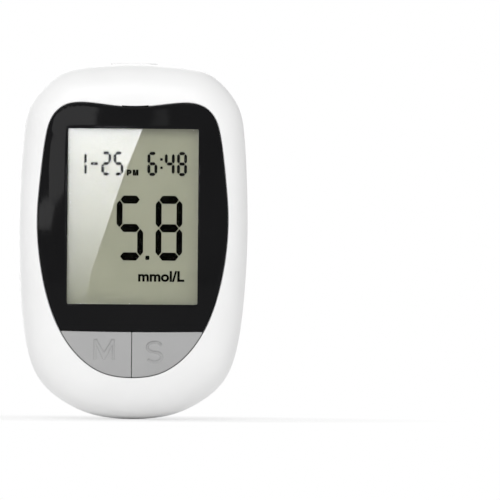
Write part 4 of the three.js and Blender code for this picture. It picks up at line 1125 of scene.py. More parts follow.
def copy_on(tree, start, points):
    """The node that puts a copy of the tree's piece on each point."""
    info = add_node(tree, "GeometryNodeObjectInfo")
    spread = add_node(tree, "GeometryNodeInstanceOnPoints")
    wire(
        tree,
        (start.outputs["Copied Piece"], info.inputs["Object"]),
        (points, spread.inputs["Points"]),
        (info.outputs["Geometry"], spread.inputs["Instance"]),
    )
    return spread


def plain_mesh(holder):
    """What an object shows, as a plain mesh piece in its place."""
    name = holder.name
    bpy.context.view_layer.update()
    graph = bpy.context.evaluated_depsgraph_get()
    made = bpy.data.meshes.new_from_object(holder.evaluated_get(graph))
    bpy.data.objects.remove(holder)
    made.name = name
    return in_scene(name, made)


def grow(name, tree, values, points=None, turns=None):
    """Runs a tree over bare points and returns what it makes as a plain mesh piece."""
    mesh = bpy.data.meshes.new(name)
    if points is not None:
        mesh.from_pydata(to_frame(points).tolist(), [], [])
    if turns is not None:
        mesh.attributes.new("turn", "FLOAT", "POINT").data.foreach_set("value", np.asarray(turns, np.float32))
    holder = in_scene(name, mesh)
    modifier = holder.modifiers.new("grow", "NODES")
    modifier.node_group = tree
    for item in tree.interface.items_tree:
        if item.in_out == "INPUT" and item.name in values:
            modifier[item.identifier] = values[item.name]
    return plain_mesh(holder)


# A copy of a piece on every point, turned about Y by the point's own turn.
copies, start, end = new_tree(
    "copies_on_points", {"Copied Piece": "NodeSocketObject", "Material": "NodeSocketMaterial"}
)
turn = add_node(copies, "GeometryNodeInputNamedAttribute", Name="turn")
turn.data_type = "FLOAT"
about = add_node(copies, "ShaderNodeCombineXYZ")
spread = copy_on(copies, start, start.outputs["Geometry"])
wire(copies, (turn.outputs["Attribute"], about.inputs["Y"]), (about.outputs[0], spread.inputs["Rotation"]))
close_tree(copies, start, end, spread.outputs[0])
print("tree", copies.name, "with", len(copies.nodes), "nodes")


def at_origin(piece):
    """A copied piece is drawn round the frame's origin, so the frame's offset is taken out again."""
    piece.data.transform(Matrix.Translation((0, 0, -BOTTOM_Z)))
    return piece


# %% Bars and dots of the display
film_box = measure("lcd_cell")
FILM = film_box.far
INK_GAP = 0.03
INK_THICK = 0.05
INK_NEAR = FILM + INK_GAP
INK_FAR = INK_NEAR + INK_THICK
BAR_LEAN = 0.82
BAR_CORNER_SHARE = 0.07
LIT = {
    # figure: lit bars, named a to g from the top bar clockwise, with g across the middle
    "2": "abdeg",
    "4": "bcfg",
    "5": "acdfg",
    "6": "acdefg",
    "8": "abcdefg",
}


def photo_point(column, row):
    """How far across and up the meter a point of the picture lies, with the meter's lean taken out."""
    right, up = column - PICTURE / 2, PICTURE / 2 - row
    across = right * math.cos(LEAN) - up * math.sin(LEAN) + PICTURE / 2 - MIDDLE_PIXEL
    height = up * math.cos(LEAN) + right * math.sin(LEAN) + BOTTOM_PIXEL - PICTURE / 2
    return across * PIXEL, height * PIXEL


def photo_box(left, right, top, bottom):
    """Left, right, low and high edge on the meter of an upright box in the picture."""
    middle_column, middle_row = (left + right) / 2, (top + bottom) / 2
    sides = (photo_point(column, middle_row)[0] for column in (left, right))
    levels = (photo_point(middle_column, row)[1] for row in (bottom, top))
    return *sides, *levels


def bar_path(length, thick, lean):
    """A bar with slanted ends, lying along x round the origin. The lean is how far in an end slants for each
    step across."""
    half, tip = length / 2, thick / 2
    flat = half - tip * lean
    path = [(-half, 0), (-flat, -tip), (flat, -tip), (half, 0), (flat, tip), (-flat, tip)]
    return softened(np.array(path, float), thick * BAR_CORNER_SHARE, 3)


def figure_bars(figure, middle_x, across, low, high, lying):
    """Middle and turn of each lit bar of a figure."""
    left, right = middle_x - across / 2, middle_x + across / 2
    middle = (low + high) / 2
    quarter = (high - low - lying) / 4
    bars = {
        "a": (middle_x, high - lying / 2, 0),
        "b": (right, middle + quarter, 1),
        "c": (right, middle - quarter, 1),
        "d": (middle_x, low + lying / 2, 0),
        "e": (left, middle - quarter, 1),
        "f": (left, middle + quarter, 1),
        "g": (middle_x, middle, 0),
    }
    return [bars[name] for name in LIT[figure]]


def segment_figures(name, figures, row, width, bars, material):
    """Two pieces for a row of figures: its lying bars and its standing bars. The ends of both lean alike, so
    the gap between two bars is even."""
    lying, standing, gap = bars
    low, high = photo_box(*row)[2:]
    middle_row = (row[2] + row[3]) / 2
    across = width - standing
    tall = (high - low - lying) / 2
    places = []
    for figure, column in figures:
        places += figure_bars(figure, photo_point(column, middle_row)[0], across, low, high, lying)
    kinds = (("lying", 0, across, lying, BAR_LEAN), ("standing", 1, tall, standing, 1 / BAR_LEAN))
    for label, turned, length, thick, lean in kinds:
        bar = at_origin(slab("bar", bar_path(length - gap * 2, thick, lean), -INK_THICK / 2, INK_THICK / 2))
        spots = [(x, (INK_NEAR + INK_FAR) / 2, height) for x, height, turn in places if turn == turned]
        values = {"Copied Piece": bar, "Material": material}
        grown_bars = grow(f"{name}_{label}", copies, values, spots, [math.pi / 2 * turned] * len(spots))
        bpy.data.objects.remove(bar)
        dress(grown_bars, material, "casing")


# %% Rows of figures
SMALL_ROW = (83.4, 187.2, 151.8, 175.9)  # left, right, top and bottom pixel
SMALL_FIGURES = (("2", 106.5), ("5", 118.7), ("6", 152.6), ("4", 169.9), ("8", 182.2))  # and middle pixel
SMALL_WIDTH = 9.9 * PIXEL
SMALL_BARS = (0.86, 0.78, 0.10)  # thickness of a lying and of a standing bar, and what is cut off at each end
BIG_ROW = (116.8, 181.8, 195.8, 260.6)
BIG_FIGURES = (("5", 130.1), ("8", 169.1))
BIG_WIDTH = 26.7 * PIXEL
BIG_BARS = (2.18, 1.6, 0.17)
segment_figures("small_figures", SMALL_FIGURES, SMALL_ROW, SMALL_WIDTH, SMALL_BARS, glossy_ink)
segment_figures("big_figures", BIG_FIGURES, BIG_ROW, BIG_WIDTH, BIG_BARS, display_ink)
print("figures", len(SMALL_FIGURES) + len(BIG_FIGURES))

# %% [markdown]
# ## Rear shell
# The back of the pebble is flat in the middle, where the battery door, the slider and the label sit. Its
# inside shows when the door is open, so the shelf, the cup for the cell and the pockets are real walls. Walls
# are joined to the shell first, and everything that is open is cut afterwards, as the core pins of a mould
# would leave it.

# %% Rear pebble with its lip
REAR_STEPS = 44
REAR_GROOVE = ((0.14, 0.0), (0.04, -0.05), (0.0, -0.16))
rear_shell = pebble("rear_moulding", rear_surface, REAR_ROUNDING, REAR_GROOVE, REAR_STEPS)
cut(rear_shell, hollow("inside", WALL, REAR_ROUNDING, -1))
lip = slab("lip", casing_ring(LIP_INSET), PARTING - LIP_HEIGHT, PARTING + LIP_HEIGHT)
cut(lip, slab("lip_inside", casing_ring(WALL), PARTING - 2 * LIP_HEIGHT, PARTING + 2 * LIP_HEIGHT))
fuse(rear_shell, lip)
print("rear moulding", len(rear_shell.data.polygons))

# %% Inner walls: the door's shelf, the cup, the latch's pocket and the tabs' pockets
DOOR_GAP = 0.12
DOOR_CORNER = 5.8
DOOR_LEFT = -18.7
DOOR_RIGHT = 18.3
SHELF = 1.7
SHELF_BACK = 2.9
SHELF_RIM = 1.2
CUP_X = -1.0
CUP_RADIUS = 10.4
CUP_WALL = 1.2
CUP_FLOOR = 6.4
CUP_END = 7.4
CUP_SIDES = 64
POCKET_WALL = 1.0
LATCH = (14.9, 20.3, 53.8, 60.7)  # left, right, low and high edge, as in all boxes on the back
LATCH_FLOOR = 5.2
TAB_HEIGHTS = (DOOR_MIDDLE - 3.6, DOOR_MIDDLE + 3.6)
TAB_HALF = 1.3
TAB_POCKET_GAP = 0.35
TAB_POCKET = (-20.9, -15.2)
TAB_POCKET_DEPTHS = (1.6, 3.6)
BOX_CORNER = 0.3


def door_path(extra):
    """The door's outline, or one a little outside it."""
    return grown_rect((DOOR_LEFT, DOOR_RIGHT, DOOR.low, DOOR.high), extra, DOOR_CORNER + extra)


def box_path(left, right, low, high, corner=BOX_CORNER):
    """A box with small corners."""
    return rounded_rect(left, right, low, high, corner, SMALL_STEPS)


latch_walls = grown_rect(LATCH, POCKET_WALL, BOX_CORNER, SMALL_STEPS)
inner_walls = [
    slab("shelf", door_path(DOOR_GAP + SHELF_RIM), WALL / 2, SHELF_BACK),
    slab("cup", circle(CUP_X, DOOR_MIDDLE, CUP_RADIUS + CUP_WALL, CUP_SIDES), SHELF, CUP_END),
    slab("latch_walls", latch_walls, WALL / 2, LATCH_FLOOR + POCKET_WALL),
]
for height in TAB_HEIGHTS:
    reach = TAB_HALF + TAB_POCKET_GAP
    path = grown_rect((*TAB_POCKET, height - reach, height + reach), POCKET_WALL, BOX_CORNER, SMALL_STEPS)
    inner_walls.append(slab("tab_walls", path, WALL / 2, TAB_POCKET_DEPTHS[1] + POCKET_WALL))
fuse(rear_shell, *inner_walls)
print("with its walls", len(rear_shell.data.polygons))

# %% Thicker wall under the slider's channel and round the screw wells
WELL_RADIUS = 2.45
WELL_RIM = 0.2
WELL_FLOOR = 4.2
WELL_SIDES = 48
BOSS_WALL = 1.1
BOSS_GAP = 0.1
slider_box = measure("ejector_slider")
SLIDER_HALF = slider_box.right
SLIDER_LOW = slider_box.low
CHANNEL_GAP = 0.3
CHANNEL_FLOOR = 1.4
CHANNEL_BACK = 2.6
CHANNEL_CORNER = 2.8
CHANNEL_PAST = 4
PAD_START = 0.75 * WALL
pad_half = SLIDER_HALF + CHANNEL_GAP + WALL
pad_path = box_path(-pad_half, pad_half, SLIDER_LOW - CHANNEL_GAP - WALL, LENGTH)
thicker = [slab("channel_pad", pad_path, PAD_START, CHANNEL_BACK)]
for x, height in SCREW_PLACES:
    thicker.append(slab("boss", circle(x, height, WELL_RADIUS + BOSS_WALL), 0, PARTING - BOSS_GAP))
for inner in thicker:
    combine(inner, hollow("middle_of_wall", WALL / 2, REAR_ROUNDING, -1, WALL / 2), "INTERSECT")
    fuse(rear_shell, inner)
print("with its bosses", len(rear_shell.data.polygons))

# %% Openings of the rear shell
REAR_RIM = 0.22
OPENING_RIM = 0.12
CUP_RIM = 0.25
CUP_SPACE_SIDES = 96
LATCH_RIM = 0.18
TAB_SPACE_CORNER = 0.2
SLOT = (-2.9, 2.9, 73.2, 83.8)
SLOT_START = 0.5
cut(rear_shell, recess("door_opening", door_path(DOOR_GAP), SHELF, rear_surface, -1, OPENING_RIM))
cup_path = circle(CUP_X, DOOR_MIDDLE, CUP_RADIUS, CUP_SPACE_SIDES)
cut(rear_shell, recess("cup_space", cup_path, CUP_FLOOR, level(SHELF), -1, CUP_RIM))
cut(rear_shell, recess("latch_space", box_path(*LATCH), LATCH_FLOOR, rear_surface, -1, LATCH_RIM))
for height in TAB_HEIGHTS:
    reach = TAB_HALF + TAB_POCKET_GAP
    path = box_path(*TAB_POCKET, height - reach, height + reach, TAB_SPACE_CORNER)
    cut(rear_shell, slab("tab_space", path, *TAB_POCKET_DEPTHS))
channel_half = SLIDER_HALF + CHANNEL_GAP
channel_low, channel_high = SLIDER_LOW - CHANNEL_GAP, LENGTH + CHANNEL_PAST
channel_path = rounded_rect(-channel_half, channel_half, channel_low, channel_high, CHANNEL_CORNER)
cut(rear_shell, recess("channel", channel_path, CHANNEL_FLOOR, rear_surface, -1, REAR_RIM))
cut(rear_shell, slab("slot", box_path(*SLOT), SLOT_START, CHANNEL_BACK + CLEAR))
for x, height in SCREW_PLACES:
    well_path = circle(x, height, WELL_RADIUS, WELL_SIDES)
    cut(rear_shell, recess("screw_well", well_path, WELL_FLOOR, rear_surface, -1, WELL_RIM))
    cut(rear_shell, slab("screw_hole", circle(x, height, PILOT_RADIUS, FEW_SIDES), 0, PARTING + CLEAR))
cut(rear_shell, *port_cutters())
print("with its openings", len(rear_shell.data.polygons))

# %% Scoop, label recess, sound holes and slots for the contacts
SCOOP_REACH = 3.5
SCOOP_SQUARE = 0.6
SCOOP_DEPTH = 0.9
SCOOP_HEIGHT = 6.3
SCOOP_RINGS = ((1.0, 0.5), (0.55, 0.22), (0.0, 0.0))  # share of the depth, and how far in
SCOOP_LEAST = 0.02
SCOOP_STEPS = 18
LABEL = (-16.0, 15.6, 23.1, 42.8)
LABEL_CORNER = 0.6
LABEL_GAP = 0.2
LABEL_FLOOR = 0.25
LABEL_RIM = 0.1
SOUND_HOLES = ((26.0, 39.6), (24.5, 33.7))
SOUND_RADIUS = 0.2
SOUND_RIM = 0.12
NEGATIVE_SLOT = (-7.95, -7.05)
POSITIVE_SLOT = (9.0, 11.8)
POSITIVE_START = SHELF + 0.7
CONTACT_SLOT_HALF = 2.3
CONTACT_CORNER = 0.1
NOTCH_X = 16.1
CORNER_ACROSS = 2.5
CORNER_UP = 2.0
CORNER_INSET = 0.2


def latch_corner(margin):
    """The lower inner corner of the latch's notch, which is open right through to the dark inside. Its
    slanted side stays in place, and the margin moves the other two."""
    left, low = NOTCH_X - margin, LATCH[2] - margin
    right = NOTCH_X + CORNER_ACROSS * (1 + margin / CORNER_UP)
    high = LATCH[2] + CORNER_UP * (1 + margin / CORNER_ACROSS)
    return np.array([(left, low), (right, low), (left, high)])


def scoop_cutter():
    """A dip shaped like a D that deepens towards the latch."""
    low, high, left = LATCH[3] - SCOOP_HEIGHT, LATCH[3], LATCH[1]
    outer = left + SCOOP_REACH
    turn = np.linspace(0, math.pi / 2, SCOOP_STEPS)
    across, up = np.sin(turn) ** SCOOP_SQUARE, 1 - np.clip(np.cos(turn), 0, 1) ** SCOOP_SQUARE
    bow = np.column_stack([left + SCOOP_REACH * across, low + SCOOP_HEIGHT * up])
    path = divided(np.vstack([[(left - CLEAR, low)], bow, [(left - CLEAR, high)]]))
    rings = []
    for share, inset in SCOOP_RINGS:
        shape = grown(path, -inset)
        deep = SCOOP_DEPTH * share * np.clip((outer - shape[:, 0]) / SCOOP_REACH, SCOOP_LEAST, 1)
        rings.append(in_space(shape, deep))
    rings.append(in_space(grown(path, 2 * NUDGE), -CLEAR))
    return skin("scoop", rings)


cut(rear_shell, scoop_cutter())
label_space = grown_rect(LABEL, LABEL_GAP, LABEL_CORNER)
cut(rear_shell, recess("label_recess", label_space, LABEL_FLOOR, rear_surface, -1, LABEL_RIM))
for x, height in SOUND_HOLES:
    sound_path = circle(x, height, SOUND_RADIUS, FEW_SIDES)
    cut(rear_shell, recess("sound_hole", sound_path, PARTING, rear_surface, -1, SOUND_RIM))
corner_end = LATCH_FLOOR + POCKET_WALL + CLEAR
cut(rear_shell, slab("latch_corner", latch_corner(-CORNER_INSET), LATCH_FLOOR - CLEAR, corner_end))
for sides, start in ((NEGATIVE_SLOT, CUP_FLOOR - CLEAR), (POSITIVE_SLOT, POSITIVE_START)):
    low, high = DOOR_MIDDLE - CONTACT_SLOT_HALF, DOOR_MIDDLE + CONTACT_SLOT_HALF
    cut(rear_shell, slab("contact_slot", box_path(*sides, low, high, CONTACT_CORNER), start, CUP_END + CLEAR))
dress(rear_shell, shell_white, "casing", ["rear_shell"])

# %% [markdown]
# ## Keys
# The two keys fill the lower part of the shield, split by a narrow gap. Their caps follow the crown and have
# rounded edges, and a flange inside keeps them from falling out. Each carries one letter, sunk into the same
# grey plastic, that only shows by the light on its edges. The letters are cut with the same kind of rounded
# recess as the shell's own, from outlines drawn in shares of the letter's box.

# %% Letter outlines
M_SHOULDER_SHARE = 0.26
M_DIP_SHARE = 0.68
M_FOOT = 0.45  # where the dip ends, and where the slants start, in strokes
M_SLANT = 1.3
S_OPENING = 28  # degrees that each bow stops short of level
S_STEPS = 24
P_STEPS = 9


def strip_path(middle, thick):
    """Outline of a strip of even thickness along a line."""
    middle = np.asarray(middle, float)
    along = np.gradient(middle, axis=0)
    along /= np.linalg.norm(along, axis=1)[:, None]
    across = np.column_stack([along[:, 1], -along[:, 0]]) * thick / 2
    return np.vstack([middle + across, (middle - across)[::-1]])


def letter_m(left, right, low, high, stroke):
    """A capital M with straight stems."""
    middle, tall = (left + right) / 2, high - low
    half = [
        (middle + M_FOOT * stroke, low),
        (right - stroke, high - M_SHOULDER_SHARE * tall),
        (right - stroke, low),
        (right, low),
        (right, high),
        (right - M_SLANT * stroke, high),
        (middle, high - M_DIP_SHARE * tall),
    ]
    return np.array(half + [(2 * middle - x, height) for x, height in reversed(half[:-1])])


def letter_s(left, right, low, high, stroke):
    """A capital S: two bows of an ellipse in one line, which then gets its thickness."""
    across, up = (right - left - stroke) / 2, (high - low - stroke) / 4
    middle_x, middle = (left + right) / 2, (low + high) / 2
    upper, lower = np.linspace(S_OPENING, 270, S_STEPS), np.linspace(90, S_OPENING - 180, S_STEPS)[1:]
    line = [
        (middle_x + across * math.cos(math.radians(turn)), middle + rise + up * math.sin(math.radians(turn)))
        for rise, turns in ((up, upper), (-up, lower))
        for turn in turns
    ]
    return strip_path(line, stroke)


def letter_p(left, right, low, high, stroke):
    """A capital P as two outlines, its bowl and its stem."""
    bowl_high, bowl_low = high - stroke / 2, (low + high) / 2 - stroke / 4
    radius = (bowl_high - bowl_low) / 2
    bowl = [(left + stroke / 2, bowl_low)]
    for turn in np.linspace(-math.pi / 2, math.pi / 2, P_STEPS):
        bowl_x = right - stroke / 2 - radius
        bowl.append((bowl_x + radius * math.cos(turn), bowl_low + radius * (1 + math.sin(turn))))
    bowl.append((left + stroke / 2, bowl_high))
    stem = [(left, low), (left + stroke, low), (left + stroke, high), (left, high)]
    return strip_path(bowl, stroke), np.array(stem)


# %% Key caps
KEY_BACK = measure("memory_button").near
KEY_SPLIT = 0.16
KEY_RIM = 0.13
KEY_CORNER = 0.22
KEY_STEPS = 16
KEY_FLANGE = 0.9
KEY_FLANGE_BACK = 15.95
KEY_FLANGE_THICK = 0.8
KEY_POST_X = 8.4
KEY_POST_HEIGHT = 18.2
KEY_POST_RADIUS = 1.7
KEY_INSET = 0.05
LETTER_DEEP = 0.3
LETTER_RIM = 0.24
LETTER_STROKE = 0.55
LETTERS = {
    # side: outline, left, right, low and high edge
    -1: (letter_m, -10.15, -4.65, 16.15, 21.45),
    1: (letter_s, 3.95, 8.4, 15.2, 21.1),
}


def key_outline(side, growth, offset):
    """One key's outline. The left key's is the right key's, mirrored and turned anticlockwise again."""
    path = softened(part_of_shield(growth, offset, above=False, middle=KEY_SPLIT / 2), KEY_CORNER)
    return path if side > 0 else (path * (-1, 1))[::-1]


def key_piece(name, side):
    """A key: its cap with the letter, its flange and the post that presses the switch."""
    cap_path = key_outline(side, -KEY_INSET, -KEY_GAP)
    cap = raised(name, cap_path, KEY_FLANGE_BACK, front_surface, 1, KEY_RIM, steps=KEY_STEPS)
    flange_path = key_outline(side, KEY_FLANGE, KEY_FLANGE)
    fuse(cap, slab("flange", flange_path, KEY_FLANGE_BACK, KEY_FLANGE_BACK + KEY_FLANGE_THICK))
    post = circle(side * KEY_POST_X, KEY_POST_HEIGHT, KEY_POST_RADIUS)
    fuse(cap, slab("post", post, KEY_BACK, KEY_FLANGE_BACK + KEY_FLANGE_THICK / 2))
    outline, left, right, low, high = LETTERS[side]
    top = depth_at(front_surface, (left + right) / 2, (low + high) / 2)
    letter = outline(left, right, low, high, LETTER_STROKE)
    return cut(cap, recess("letter", letter, top - LETTER_DEEP, front_surface, 1, LETTER_RIM))


memory_key = key_piece("memory_key_cap", -1)
set_key = key_piece("set_key_cap", 1)
dress(memory_key, key_grey, "memory_key", ["memory_button"])
dress(set_key, key_grey, "set_key", ["set_button"])

# %% [markdown]
# ## Signs of the display
# The unit under the figures is a text object that is made a mesh before it is stretched to its place. The
# other signs are letters and marks drawn as paths, because at a millimetre or two they need few points.

# %% Unit
UNIT_SIGN = (138.3, 184.5, 270.8, 281.8)  # left, right, top and bottom pixel, as in all boxes of the display
UNIT_BOLDNESS = 0.034
UNIT_EXTRUDE = 0.5
UNIT_FINENESS = 5
UNIT_WELD = 1e-6


def printed_text(name, text, left, right, low, high, boldness):
    """Text as a thin flat piece stretched to a box on the film."""
    data = bpy.data.curves.new(name, "FONT")
    data.body = text
    data.offset = boldness
    data.extrude = UNIT_EXTRUDE
    data.resolution_u = UNIT_FINENESS
    piece = plain_mesh(in_scene(name, data))
    mesh = piece.data
    points = np.array([vertex.co for vertex in mesh.vertices])
    share = (points - points.min(0)) / (points.max(0) - points.min(0))
    x = left + share[:, 0] * (right - left)
    height = low + share[:, 1] * (high - low)
    placed = to_frame(np.column_stack([x, INK_NEAR + share[:, 2] * INK_THICK, height]))
    mesh.vertices.foreach_set("co", placed.ravel())
    work = bmesh.new()
    work.from_mesh(mesh)
    bmesh.ops.remove_doubles(work, verts=work.verts, dist=UNIT_WELD)
    bmesh.ops.recalc_face_normals(work, faces=work.faces)
    work.to_mesh(mesh)
    work.free()
    return piece


unit_sign = printed_text("display_unit", "mmol/L", *photo_box(*UNIT_SIGN), UNIT_BOLDNESS)
dress(unit_sign, display_ink, "casing")

# %% Half of the day, dash, colon and point
DAY_SIGN_P = (127.0, 131.9, 169.8, 175.7)
DAY_SIGN_M = (133.0, 138.7, 169.8, 175.7)
DAY_STROKE = 0.5
DASH = (90.9, 98.2, 162.3, 165.2)
ONE = ((84.6, 87.1, 154.2, 163.2), (84.6, 87.1, 165.0, 174.0))
COLON = ((160.4, 162.9, 158.4, 160.9), (160.4, 162.9, 166.7, 169.2))
POINT = (145.5, 149.6, 255.7, 259.9)
MARK_CORNER_SHARE = 0.24
day_m = slab("display_letter_m", letter_m(*photo_box(*DAY_SIGN_M), DAY_STROKE), INK_NEAR, INK_FAR)
bowl, stem = letter_p(*photo_box(*DAY_SIGN_P), DAY_STROKE)
day_p = slab("display_letter_p", bowl, INK_NEAR, INK_FAR)
fuse(day_p, slab("stem", stem, INK_NEAR - NUDGE, INK_FAR + NUDGE))
for letter in (day_m, day_p):
    dress(letter, display_ink, "casing")

for number, pixels in enumerate((DASH, *ONE, *COLON, POINT)):
    left, right, low, high = photo_box(*pixels)
    corner = MARK_CORNER_SHARE * min(right - left, high - low)
    mark_path = rounded_rect(left, right, low, high, corner, SMALL_STEPS)
    mark = slab(f"display_mark_{number + 1}", mark_path, INK_NEAR, INK_FAR)
    dress(mark, display_ink if pixels == POINT else glossy_ink, "casing")

# %% [markdown]
# ## Battery door
# The door is a thin panel with rounded corners that swings on two tabs at its left edge. In its right edge
# sits the latch: a springy tongue bent like a U that a fingertip pushes aside, reached through the scoop. Its
# panel is a stack of rings like the rest, and the tongue is a strip swept along its bend.

# %% Door panel and tongue
DOOR_THICK = 1.4
DOOR_RIM = 0.13
DOOR_BACK_RIM = 0.15
NOTCH_PAST = 3
NOTCH_RIM = 0.2
TONGUE_INNER = 15.7
TONGUE_OUTER = 18.8
TONGUE_THICK = 0.8
TONGUE_STRAIGHT = 2.8
TONGUE_TOP = 0.4
TONGUE_TIP = 20.15
TONGUE_GAP_LOW = 0.15
TONGUE_GAP_HIGH = 0.25
TONGUE_EDGE = 0.15
TONGUE_LIP_OVERLAP = 0.1
TONGUE_CORNER_START = DOOR_THICK + 0.05
BEND_STEPS = 19
ARM_STEPS = 6
TONGUE_LOW = LATCH[2] + TONGUE_GAP_LOW
TONGUE_HIGH = LATCH[3] - TONGUE_GAP_HIGH
SMALL_CORNER = 0.2
door = raised("door_panel", door_path(0), DOOR_THICK, level(0), -1, DOOR_RIM, DOOR_BACK_RIM, steps=3)
notch_path = box_path(NOTCH_X, DOOR_RIGHT + NOTCH_PAST, LATCH[2], LATCH[3])
cut(door, recess("notch", notch_path, DOOR_THICK + CLEAR, level(0), -1, NOTCH_RIM))
bend_x = (TONGUE_INNER + TONGUE_OUTER) / 2
bend_radius = (TONGUE_OUTER - TONGUE_INNER) / 2
bend = [
    (bend_x - bend_radius * math.cos(angle), TONGUE_STRAIGHT + bend_radius * math.sin(angle))
    for angle in np.linspace(0, math.pi, BEND_STEPS)
]
inner_depths = np.linspace(TONGUE_THICK / 2, TONGUE_STRAIGHT, ARM_STEPS)[:-1]
outer_depths = np.linspace(TONGUE_STRAIGHT, TONGUE_TOP, ARM_STEPS)[1:]
inner_arm = [(TONGUE_INNER, depth) for depth in inner_depths]
outer_arm = [(TONGUE_OUTER, depth) for depth in outer_depths]
tongue_path = strip_path(inner_arm + bend + outer_arm, TONGUE_THICK)
lip_left = TONGUE_OUTER - TONGUE_LIP_OVERLAP
lip_path = box_path(lip_left, TONGUE_TIP, TONGUE_TOP, TONGUE_TOP + TONGUE_THICK, SMALL_CORNER)
for label, path in (("tongue", tongue_path), ("tongue_lip", lip_path)):
    fuse(door, slab(label, path, TONGUE_LOW, TONGUE_HIGH, "height", TONGUE_EDGE))
cut(door, slab("tongue_corner", latch_corner(CLEAR), TONGUE_CORNER_START, LATCH_FLOOR + CLEAR))
print("door with its tongue", len(door.data.polygons))

# %% Tabs and ribs of the door
TAB_FRONT = 1.85
TAB_BACK = 2.65
TAB_END = -20.3
TAB_ROOT = -17.3
TAB_EDGE = 0.1
TAB_ROOT_LOWER = 0.05
DOOR_RIB_SPREAD = 5
DOOR_RIB_HALF = 0.4
DOOR_RIB_REACH = 6
DOOR_RIB_RISE = 0.4
DOOR_RIB_CORNER = 0.35
DOOR_RIB_EDGE = 0.1
for height in TAB_HEIGHTS:
    arm = box_path(TAB_END, TAB_ROOT, TAB_FRONT, TAB_BACK, SMALL_CORNER)
    root_back = TAB_BACK - TAB_ROOT_LOWER
    root = box_path(DOOR_LEFT + DOOR_GAP, TAB_ROOT, DOOR_THICK / 2, root_back, SMALL_CORNER)
    for label, path in (("tab_arm", arm), ("tab_root", root)):
        fuse(door, slab(label, path, height - TAB_HALF, height + TAB_HALF, "height", TAB_EDGE))
for side in (-1, 1):
    rib_x = CUP_X + side * DOOR_RIB_SPREAD
    rib_outline = centred_rect(rib_x, DOOR_MIDDLE, DOOR_RIB_HALF, DOOR_RIB_REACH, DOOR_RIB_CORNER)
    rib_end = DOOR_THICK + DOOR_RIB_RISE
    fuse(door, slab("rib", rib_outline, DOOR_THICK / 2, rib_end, "depth", DOOR_RIB_EDGE))
dress(door, shell_white, "door", ["battery_door"])

# %% [markdown]
# ## Coin cell
# The cell is turned: its profile runs from the middle over the rolled edge and back. Steel that has been
# drawn and rolled shows rounded corners, never sharp ones. A plus sign is stamped into its large face.

# %% Cell
PLUS_UP = 5.2
PLUS_REACH = 2.2
PLUS_STROKE = 0.55
PLUS_CORNER = 0.2
PLUS_DEEP = 0.06
ROUND_SIDES = 72
ROUND_SHARP = 30
# Each point is given as how far it lies in from the cell's rim, and how far from its large or small face.
LARGE_EDGE = ((0.55, 0), (0.22, 0.07), (0.05, 0.25), (0, 0.5))
SMALL_EDGE = ((0, 0.6), (0.1, 0.42), (0.4, 0.36), (1.0, 0.36), (1.15, 0.3), (1.3, 0.06), (1.5, 0))
cell_box = measure("coin_cell")
CELL_RADIUS = (cell_box.right - cell_box.left) / 2
cell_profile = [(CELL_RADIUS - inset, cell_box.near + deep) for inset, deep in LARGE_EDGE]
cell_profile += [(CELL_RADIUS - inset, cell_box.far - deep) for inset, deep in SMALL_EDGE]


def turned(name, x, height, profile, sides=ROUND_SIDES):
    """A round piece on an axis through the meter's depth."""
    return skin(name, [in_space(circle(x, height, radius, sides), depth) for radius, depth in profile])


cell = turned("button_cell", CUP_X, DOOR_MIDDLE, cell_profile)
for across, up in ((PLUS_REACH, PLUS_STROKE), (PLUS_STROKE, PLUS_REACH)):
    path = centred_rect(CUP_X, DOOR_MIDDLE + PLUS_UP, across, up, PLUS_CORNER)
    cut(cell, slab("plus", path, cell_box.near - CLEAR, cell_box.near + PLUS_DEEP))
dress(cell, bright_steel, "casing", ["coin_cell"], ROUND_SHARP)

# %% [markdown]
# ## Ejector slider
# A thumb pushes this plate up to eject the used strip. Eight ribs give it grip. They are all alike, so one
# rib is modelled and Geometry Nodes lay the row: a line of points with a named count and pitch, a copy on
# each point, and real geometry at the end. The plate itself has a bowed upper edge and rounded sides.

# %% Slider plate
PLATE_NEAR = 0.55
PLATE_FAR = 1.25
PLATE_RIM = 0.22
PLATE_BACK_RIM = 0.1
PLATE_CORNER = 2.5
PLATE_TOP_CORNER = 1.3
PLATE_BOW = 0.5
SHOULDER_STEPS = 8
BOW_STEPS = 14
STEM = (-2.6, 2.6, SLIDER_LOW + 2.3, SLIDER_LOW + 7.3)
STEM_START = PLATE_NEAR + 0.2
STEM_END = 2.8
PEG_RADIUS = 1.5
PEG_HEAD_RADIUS = 1.9
PEG_START = 4.2
PEG_END = 4.65
PEG_SIDES = 32
PEG = [(PEG_RADIUS, depth) for depth in (PLATE_FAR, PEG_START)]
PEG += [(PEG_HEAD_RADIUS, depth) for depth in (PEG_START, PEG_END)]


def slider_path():
    """The plate's outline: rounded below, with a bowed edge between two shoulders above."""
    path = list(rounded_rect(-SLIDER_HALF, SLIDER_HALF, SLIDER_LOW, slider_box.high, PLATE_CORNER))
    low_half = [point for point in path if point[1] < slider_box.high - 2 * PLATE_CORNER]
    low_half.sort(key=lambda point: math.atan2(point[0], -(point[1] - slider_box.high)))
    corner = PLATE_TOP_CORNER
    shoulder_x = SLIDER_HALF - corner
    shoulder = slider_box.high - PLATE_BOW - corner
    angles = np.linspace(0, math.pi / 2, SHOULDER_STEPS)
    right = [(shoulder_x + corner * math.cos(angle), shoulder + corner * math.sin(angle)) for angle in angles]
    across = np.linspace(shoulder_x, -shoulder_x, BOW_STEPS)[1:-1]
    top = [(x, slider_box.high - PLATE_BOW * (x / shoulder_x) ** 2) for x in across]
    left = [(-x, height) for x, height in reversed(right)]
    return divided(np.array(low_half + right + top + left))


